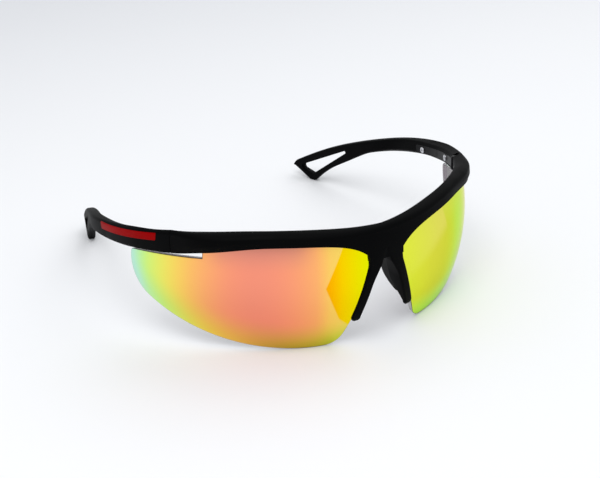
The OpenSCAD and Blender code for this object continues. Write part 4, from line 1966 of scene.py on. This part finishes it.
@dataclass(frozen=True)
class FrontFrame(Builder):
    """The brow bar with its nose legs, in one moulding."""

    slices: int = 58
    leg_slices: int = 44
    leg_above: float = 5.6
    leg_end_slices: int = 13
    leg_end_from: float = 6.0
    arch_slices: int = 3
    arch_until: float = 4.5
    turn_slices: int = 15
    turn_gap: float = 0.05
    turn_growth: float = 0.045
    turn_until: float = 9.0

    def build(self) -> None:
        """Build the moulding."""
        bridge = self.form.brow.bridge_angle
        half = steps(0, self.arch_until, self.arch_slices) + [bridge - self.turn_gap]
        half += [bridge + self.turn_gap + self.turn_growth * k * k for k in range(self.turn_slices)]
        half += steps(bridge + self.turn_until, self.form.brow.seam_angle, self.slices)
        angles = [-a for a in reversed(half[1:])] + half
        brow = self.shop.loft("front_frame_fine", [self.form.brow_ring(a) for a in angles])
        self.shop.combine(brow, [self._leg(side) for side in Side], Shaping.UNITE)
        for side in Side:
            self.shop.combine(brow, self.hinge_room(side) + [self._leaf_pocket(side)], Shaping.CUT)
        self.dress(brow, self.finishes.frame, "frame_black", Body.FRONT, ["front_frame"])

    def _leg(self, side: Side) -> Object:
        """Make one nose leg.

        Args:
            side: The side that it is for.

        Returns:
            The leg.
        """
        g = self.form.leg
        heights = steps(g.root_z + self.leg_above, g.tip_z, self.leg_slices)
        turns = steps(self.leg_end_from, END_TURN, self.leg_end_slices)
        heights += [g.tip_z - g.width / 2 * sind(t) for t in turns]
        return self.shop.loft("leg", [self.form.leg_ring(z) for z in heights], side)

    def _leaf_pocket(self, side: Side) -> Object:
        """Make the solid that hollows out the seat of the hinge's front leaf.

        Args:
            side: The side that it is for.

        Returns:
            The cutting solid.
        """
        h = self.form.hinge
        r = h.leaf_corner + h.inlay_gap
        top = h.leaf_h / 2 + h.inlay_gap
        flat = rounded((-h.front_leaf - h.inlay_gap, -top), (r, top), r, self.form.detail.leaf_corner)
        depths = (-h.axis_inset - 1, -h.axis_inset + h.leaf_thick + h.inlay_gap)
        rings = [[self.hinge_point(x, y, z) for y, z in flat] for x in depths]
        return self.shop.loft("leaf_pocket", rings, side)


@dataclass
class Patchwork:
    """A mesh in the making: its points, and its faces with their looks."""

    points: list[Point] = field(default_factory=list)
    faces: list[list[int]] = field(default_factory=list)
    looks: list[LensFace] = field(default_factory=list)

    def add(self, points: Iterable[Point]) -> list[int]:
        """Add points.

        Args:
            points: The points.

        Returns:
            Their numbers.
        """
        start = len(self.points)
        self.points.extend(points)
        return list(range(start, len(self.points)))

    def join(self, first: Sequence[int], second: Sequence[int], look: LensFace) -> None:
        """Join two closed rings of points, or one point and a ring, with faces.

        Args:
            first: The numbers of the points of the first ring, or of the one point.
            second: The numbers of the points of the second ring.
            look: The look of the faces.
        """
        n = len(second)
        for i in range(n):
            j = (i + 1) % n
            start = [first[i], first[j]] if len(first) > 1 else [first[0]]
            self.faces.append([*start, second[j], second[i]])
            self.looks.append(look)


@dataclass(frozen=True)
class Lenses(Builder):
    """The two lenses: a mirrored outer face, a tinted inner face and a polished edge.

    A layer of the edge is how far it lies outside the outline, and how deep.
    """

    layers: tuple[Flat, ...] = ((-0.25, 0.0), (-0.1, 0.05), (-0.02, 0.16), (0.0, 0.3))
    dark_bands: int = 2
    rings: int = 26
    middle: Flat = (-6.0, -4.0)

    def _sheet(self, mesh: Patchwork, grow: float, depth: float, look: LensFace) -> list[int]:
        """Add a face of the lens, as rings about a middle point.

        Args:
            mesh: The mesh in the making.
            grow: How far its rim lies outside the outline.
            depth: How deep it lies.
            look: The look of its faces.

        Returns:
            The numbers of the points on its rim.
        """
        p0, q0 = self.middle
        rim = self.form.lens_outline(grow)
        last = mesh.add([self.form.lens_point(self.middle, depth)])
        for k in range(1, self.rings + 1):
            share = k / self.rings
            flat = [(blend(p0, p, share), blend(q0, q, share)) for p, q in rim]
            ring = mesh.add(self.form.lens_point(point, depth) for point in flat)
            mesh.join(last, ring, look)
            last = ring
        return last

    def build(self, side: Side) -> None:
        """Build the lens on one side.

        Args:
            side: The lens's side.
        """
        form = self.form
        looks = self.finishes
        thick = form.lens.thick
        inside = [(grow, thick - depth) for grow, depth in reversed(self.layers)]
        mesh = Patchwork()
        edge = [self._sheet(mesh, self.layers[0][0], 0.0, LensFace.MIRROR)]
        rear = self._sheet(mesh, inside[-1][0], thick, LensFace.INSIDE)
        for grow, depth in (*self.layers[1:], *inside[:-1]):
            edge.append(mesh.add(form.lens_point(flat, depth) for flat in form.lens_outline(grow)))
        edge.append(rear)
        for band, (upper, lower) in enumerate(zip(edge, edge[1:])):
            mesh.join(upper, lower, LensFace.DARK_EDGE if band < self.dark_bands else LensFace.CLEAR_EDGE)
        lens = self.shop.solid(f"lens_{side.word}_fine", mesh.points, mesh.faces, side)
        for material in (looks.mirrors[side], looks.lens_back, looks.lens_edge, looks.lens_clear):
            lens.data.materials.append(material)
        for face, look in zip(lens.data.polygons, mesh.looks):
            face.material_index = look.value
        self.dress(lens, looks.mirrors[side], "lens_mirror", Body.FRONT, [f"lens_{side.word}"], 50)


@dataclass(frozen=True)
class NosePads(Builder):
    """The soft pads behind the nose legs."""

    slices: int = 40

    def build(self, side: Side) -> None:
        """Build the pad on one side.

        Args:
            side: The pad's side.
        """
        g = self.form.leg
        middle = (g.pad_top + g.pad_low) / 2
        half = (g.pad_top - g.pad_low) / 2
        heights = [middle + half * sind(t) for t in steps(END_TURN, -END_TURN, self.slices)]
        pad = self.shop.loft(f"nose_pad_{side.word}_fine", [self.form.pad_ring(z) for z in heights], side)
        self.dress(pad, self.finishes.pad, "pad_rubber", Body.FRONT, [f"nose_pad_{side.word}"], 40)


@dataclass(frozen=True)
class Temples(Builder):
    """The temples, with their forked ends."""

    front_slices: int = 60
    rear_slices: int = 64
    first_slice: float = 1.2
    window_slices: int = 72
    window_past: float = 0.6
    flare_bend: Flat = (0.3, 0.42)
    tip_slices: int = 10
    tip_from: float = 8.0

    def build(self, side: Side) -> None:
        """Build the temple on one side.

        Args:
            side: The temple's side.
        """
        t = self.form.temple
        end = t.length - t.tip_round
        places = steps(self.first_slice, t.fork_start, self.front_slices)
        places += steps(t.fork_start, end, self.rear_slices)[1:]
        turns = steps(self.tip_from, 90, self.tip_slices)
        places += [end + t.tip_round * sind(turn) * (1 - t.tip_short) for turn in turns]
        rings = [self._butt_ring()] + [self.form.temple_ring(u) for u in places]
        temple = self.shop.loft(f"temple_{side.word}_fine", rings, side)
        tools = self.hinge_room(side) + self._pockets(side) + [self._window(side)]
        self.shop.combine(temple, tools, Shaping.CUT)
        self.dress(temple, self.finishes.frame, "frame_black", Body.temple(side), [f"temple_{side.word}"])

    def _butt_ring(self) -> list[Point]:
        """Draw the section that meets the end of the brow, on the joint's own plane.

        Returns:
            The points round the section.
        """
        seam = self.form.brow.seam_angle
        turn = self.form.temple_turn(0)
        ring: list[Point] = []
        for x, y, z in self.form.temple_ring(0):
            short = (self.form.temple.joint_gap - x * cosd(seam) - y * sind(seam)) / cosd(turn - seam)
            ring.append((x + cosd(turn) * short, y + sind(turn) * short, z))
        return ring

    def _pockets(self, side: Side) -> list[Object]:
        """Make the solids that hollow out the seats of the hinge's leaf and of the strip.

        Args:
            side: The side that it is for.

        Returns:
            The cutting solids.
        """
        form = self.form
        thick = form.temple.thick
        h = form.hinge
        s = form.strip
        g = h.inlay_gap
        leaf = Band((thick - h.leaf_thick - g, thick + 3 * g), (h.leaf_from - g, h.temple_leaf + g),
                    form.hinge_z, h.leaf_h + 2 * g, h.band_corner)
        strip = Band((-s.proud - 4 * g, s.thick + g), (s.start - g, s.end + g),
                     form.temple_top_z - s.below_top, s.height + 2 * g, s.corner, slant=s.slant)
        return [self.band("leaf_seat", leaf, side), self.band("strip_seat", strip, side)]

    def _window(self, side: Side) -> Object:
        """Make the solid that cuts the window in the forked end, flared at both faces.

        Args:
            side: The side that it is for.

        Returns:
            The cutting solid.
        """
        form = self.form
        corners = form.window_corners()
        edge = form.temple.window_edge
        past = self.window_past
        deep, wide = self.flare_bend
        flare = ((-past, past + edge), (0, edge), (deep * edge, wide * edge), (edge, 0))
        sections = [(0, depth, grow) for depth, grow in flare]
        sections += [(1, -depth, grow) for depth, grow in reversed(flare)]
        rings = []
        for share, shift, grow in sections:
            ring: list[Point] = []
            for k in range(self.window_slices):
                t = 360 * k / self.window_slices
                best = max(corners, key=lambda c: c.x * cosd(t) + c.y * sind(t) + c.r)
                u, z = best.grown(grow).at(t)
                ring.append((*form.temple_at(u, form.temple_w(u) * share + shift), z))
            rings.append(ring)
        return self.shop.loft("window", rings, side)


@dataclass(frozen=True)
class AccentStrips(Builder):
    """The coloured strips let into the outsides of the temples."""

    crease: float = 30.0

    def build(self, side: Side) -> None:
        """Build the strip on one side.

        Args:
            side: The strip's side.
        """
        s = self.form.strip
        z0 = self.form.temple_top_z - s.below_top
        bar = Band((-s.proud, s.thick), (s.start, s.end), z0, s.height, s.corner, s.bevel, s.slant, True)
        strip = self.band(f"accent_strip_{side.word}_fine", bar, side)
        node = f"accent_strip_{side.word}"
        self.dress(strip, self.finishes.strip, "strip_red", Body.temple(side), [node], self.crease)


@dataclass(frozen=True)
class Fasteners(Builder):
    """The screws of the hinges, with recessed heads.

    The brim, the crown and the floor of the slots are shares of the head's height, and the slots narrow
    by shares of their own size.
    """

    slot_width: float = 0.26
    slot_length: float = 1.5
    slot_floor: float = 0.3
    slot_above: float = 0.2
    slot_taper: Flat = (0.7, 1.05)
    brim: float = 0.5
    crown: float = 0.42
    crown_from: float = 15.0
    crown_flat: Flat = (0.4, 0.98)
    point: float = 0.12
    head_edge: float = 0.06
    head_round: float = 0.22
    front_screw_at: float = 2.0
    crease: float = 30.0

    def _screw(self, name: str, length: float, place: Callable[[float, float, float], Point],
               side: Side) -> Object:
        """Make one screw.

        Args:
            name: The object's name.
            length: The length under the head.
            place: Turns a point with Z out of the head's top into a point of the form.
            side: The side that it is for.

        Returns:
            The screw.
        """
        h = self.form.hinge
        head = h.head_d / 2
        shaft = h.screw_d / 2
        brim = h.head_h * self.brim
        profile = [(shaft - self.point, -length), (shaft, self.point - length), (shaft, 0.0),
                   (head - self.head_edge, 0.0), (head, self.head_edge), (head, brim)]
        n = self.form.detail
        profile += arc(head - self.head_round, brim, self.head_round, self.crown_from, 90, n.screw_crown,
                       h.head_h * self.crown)
        profile += [(head * self.crown_flat[0], h.head_h * self.crown_flat[1])]
        turns = steps(0, 360, n.screw_round + 1)[:-1]
        rings = [[place(r * cosd(t), r * sind(t), z) for t in turns] for r, z in profile]
        screw = self.shop.loft(name, rings, side)
        levels = (h.head_h * self.slot_floor, h.head_h + self.slot_above)
        slots = []
        for wide, tall in ((self.slot_width, self.slot_length), (self.slot_length, self.slot_width)):
            rings = []
            for z, share in zip(levels, self.slot_taper):
                x = wide / 2 * share
                y = tall / 2 * share
                rings.append([place(a, b, z) for a, b in ((-x, -y), (x, -y), (x, y), (-x, y))])
            slots.append(self.shop.loft("slot", rings, side))
        self.shop.combine(screw, slots, Shaping.CUT)
        return screw

    def _join(self, things: Sequence[Object]) -> Object:
        """Join several screws into the first of them.

        Args:
            things: The screws.

        Returns:
            The piece.
        """
        work = bmesh.new()
        for thing in things:
            work.from_mesh(thing.data)
        work.to_mesh(things[0].data)
        work.free()
        for thing in things[1:]:
            bpy.data.objects.remove(thing)
        return things[0]

    def build(self, side: Side) -> None:
        """Build the screws on one side.

        Args:
            side: The screws' side.
        """
        form = self.form
        h = form.hinge

        def on_front(x: float, y: float, z: float) -> Point:
            """Place a point of the front leaf's screw."""
            return self.hinge_point(-h.axis_inset - z, self.front_screw_at - h.front_leaf + x, y)

        def on_pin(x: float, y: float, z: float) -> Point:
            """Place a point of the hinge's pin screw."""
            return self.hinge_point(x, y, h.height / 2 + z)

        def on_temple(u: float) -> Callable[[float, float, float], Point]:
            """Choose what places the points of a temple screw.

            Args:
                u: The screw's distance from the joint.

            Returns:
                The function that places its points.
            """

            def place(x: float, y: float, z: float) -> Point:
                """Place a point of this screw.

                Args:
                    x: The distance along the temple.
                    y: The distance upwards.
                    z: The distance out of the head's top.

                Returns:
                    The point.
                """
                b = form.arc_angle(u)
                r = form.temple.radius - form.temple.thick - z
                cx, cy = form.temple_centre
                height = form.hinge_z - form.temple.fall * u + y
                return (cx + r * sind(b) + x * cosd(b), cy - r * cosd(b) + x * sind(b), height)

            return place

        word = side.word
        pair_name = f"temple_screws_{word}_fine"
        front = self._screw(f"front_screw_{word}_fine", h.screw_l, on_front, side)
        pin = self._screw(f"hinge_pin_{word}_fine", h.height, on_pin, side)
        pair = [self._screw(pair_name, h.screw_l, on_temple(u), side) for u in h.screw_at]
        pieces = (
            (front, self.finishes.dark_steel, Body.FRONT, f"front_screw_{word}"),
            (pin, self.finishes.dark_steel, Body.FRONT, f"hinge_pin_{word}"),
            (self._join(pair), self.finishes.steel, Body.temple(side), f"temple_screws_{word}"),
        )
        for thing, finish, body, node in pieces:
            self.dress(thing, finish, "screw_steel", body, [node], self.crease)


@dataclass(frozen=True)
class HingeLeaves(Builder):
    """The leaves of the hinges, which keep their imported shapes."""

    def build(self, side: Side, frame: dict[str, object]) -> None:
        """Give the leaves on one side their finish.

        Args:
            side: The leaves' side.
            frame: The loaded frame.
        """
        for stem in ("hinge_front", "hinge_temple"):
            node = frame["nodes"][f"{stem}_{side.word}"]
            node.data.materials.clear()
            node.data.materials.append(self.finishes.leaf)
            LOG.info("%s: dressed as packed", node.name)


@dataclass(frozen=True)
class Lamp:
    """A soft square lamp that points at the sunglasses, in metres and watts."""

    name: str
    place: Point
    size: float
    power: float

    def hang(self) -> None:
        """Hang the lamp in its place."""
        data = bpy.data.lights.new(self.name, "AREA")
        data.size = self.size
        data.energy = self.power
        lamp = bpy.data.objects.new(self.name, data)
        lamp.location = self.place
        lamp.rotation_euler = Vector(self.place).to_track_quat("Z", "Y").to_euler()
        bpy.context.scene.collection.objects.link(lamp)


@dataclass(frozen=True)
class Studio:
    """The pale table, the soft lamps and the camera, which stands where the photograph was taken from.

    The camera's distance and its target about the head's axis are in millimetres. The table and the lamps
    are in metres.
    """

    origin_y: float
    azimuth: float = -30.94
    elevation: float = 26.10
    roll: float = -1.43
    distance: float = 446.8
    focal_pixels: float = 1114.07
    picture_width: float = 600.0
    sensor_width: float = 36.0
    target: Point = (0.0, -10.9, 16.48)
    near_clip: float = 0.01
    table_half: float = 5.0
    table_roughness: float = 0.7
    table_specular: float = 0.1
    table_near: Colour = (0.87, 0.878, 0.896)
    # Painted shade: the table is darker to the rear, and pale again far off.
    table_rear_shade: Colour = (0.745, 0.755, 0.785)
    table_far: Colour = (0.92, 0.93, 0.945)
    table_spots: Colour = (0.83, 0.84, 0.87)
    rear_from: Flat = (0.0, 0.6)
    far_from: Flat = (0.9, 2.2)
    sky: Colour = (0.97, 0.985, 1.0)
    sky_strength: float = 0.72
    spot_scale: float = 5.0
    spot_edges: Flat = (0.3, 0.7)
    spot_strength: float = 0.12
    lamps: tuple[Lamp, ...] = (
        Lamp("key_lamp", (-0.25, -0.35, 0.9), 0.7, 4.0),
        Lamp("fill_lamp", (0.6, 0.3, 0.8), 0.8, 2.0),
    )

    def build(self) -> None:
        """Build the studio."""
        self._camera()
        self._floor()
        self._world()
        for lamp in self.lamps:
            lamp.hang()
        bpy.context.scene.view_settings.view_transform = "Standard"

    def _camera(self) -> None:
        """Set the camera where the photograph was taken from."""
        az = self.azimuth
        el = self.elevation
        back = Vector((sind(az) * cosd(el), -cosd(az) * cosd(el), sind(el)))
        right = Vector((0, 0, 1)).cross(back).normalized()
        up = back.cross(right)
        turned_right = right * cosd(self.roll) + up * sind(self.roll)
        turned_up = up * cosd(self.roll) - right * sind(self.roll)
        target = Vector((self.target[0], self.target[1] + self.origin_y, self.target[2])) * MM
        data = bpy.data.cameras.new("camera")
        data.sensor_fit = "HORIZONTAL"
        data.sensor_width = self.sensor_width
        data.lens = self.focal_pixels * self.sensor_width / self.picture_width
        data.clip_start = self.near_clip
        data.dof.use_dof = False
        camera = bpy.data.objects.new("camera", data)
        turn = Matrix((turned_right, turned_up, back)).transposed().to_4x4()
        camera.matrix_world = Matrix.Translation(target + back * self.distance * MM) @ turn
        bpy.context.scene.collection.objects.link(camera)
        bpy.context.scene.camera = camera

    def _floor(self) -> None:
        """Make the pale table, with a painted shade that darkens it a little to the rear; it is pale again
        far off.
        """
        mesh = bpy.data.meshes.new("floor")
        size = self.table_half
        corners = [(-size, -size, 0), (size, -size, 0), (size, size, 0), (-size, size, 0)]
        mesh.from_pydata(corners, [], [[0, 1, 2, 3]])
        floor = bpy.data.objects.new("floor", mesh)
        bpy.context.scene.collection.objects.link(floor)
        material, tree, shader, place = new_finish("pale_table")
        rearwards = tree.vector("DOT_PRODUCT", "Value", place, (0.0, 1.0, 0.0))
        away = tree.vector("LENGTH", "Value", place)
        # Painted shade that darkens the table towards the rear and fades far off.
        colour = tree.mix(tree.remap(rearwards, *self.rear_from), self.table_near, self.table_rear_shade)
        colour = tree.mix(tree.remap(away, *self.far_from), colour, self.table_far)
        dapple = tree.remap(tree.noise(place, self.spot_scale), *self.spot_edges, 0.0, self.spot_strength)
        colour = tree.mix(dapple, colour, self.table_spots)
        tree.fill(
            shader,
            Base_Color=colour,
            Roughness=self.table_roughness,
            Specular_IOR_Level=self.table_specular,
        )
        mesh.materials.append(material)
        floor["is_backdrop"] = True

    def _world(self) -> None:
        """Light everything softly from all round."""
        world = bpy.data.worlds.new("studio")
        bpy.context.scene.world = world
        world.use_nodes = True
        shade = world.node_tree.nodes["Background"]
        Tree(world.node_tree).fill(shade, Color=(*self.sky, 1.0), Strength=self.sky_strength)


def plain(bounds: object) -> list[list[float]]:
    """Return a box's corners as plain lists of numbers."""
    return [[float(v) for v in corner] for corner in bounds]


def main() -> None:
    """Load the frame, build every piece and the studio, and measure the sizes before and after."""
    logging.basicConfig(level=logging.INFO, format="%(name)s: %(message)s")
    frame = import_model()
    packed = plain(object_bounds())
    form = Form()
    origin_y = form.origin_y()
    kit = (form, Shop(origin_y), Finishes(Effects(), form, origin_y))
    Studio(origin_y).build()
    FrontFrame(*kit).build()
    for side in Side:
        for assembly in (Lenses, NosePads, Temples, AccentStrips, Fasteners):
            assembly(*kit).build(side)
        HingeLeaves(*kit).build(side, frame)
    {"packed": packed, "dressed": plain(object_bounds())}


if __name__ == "__main__":
    main()
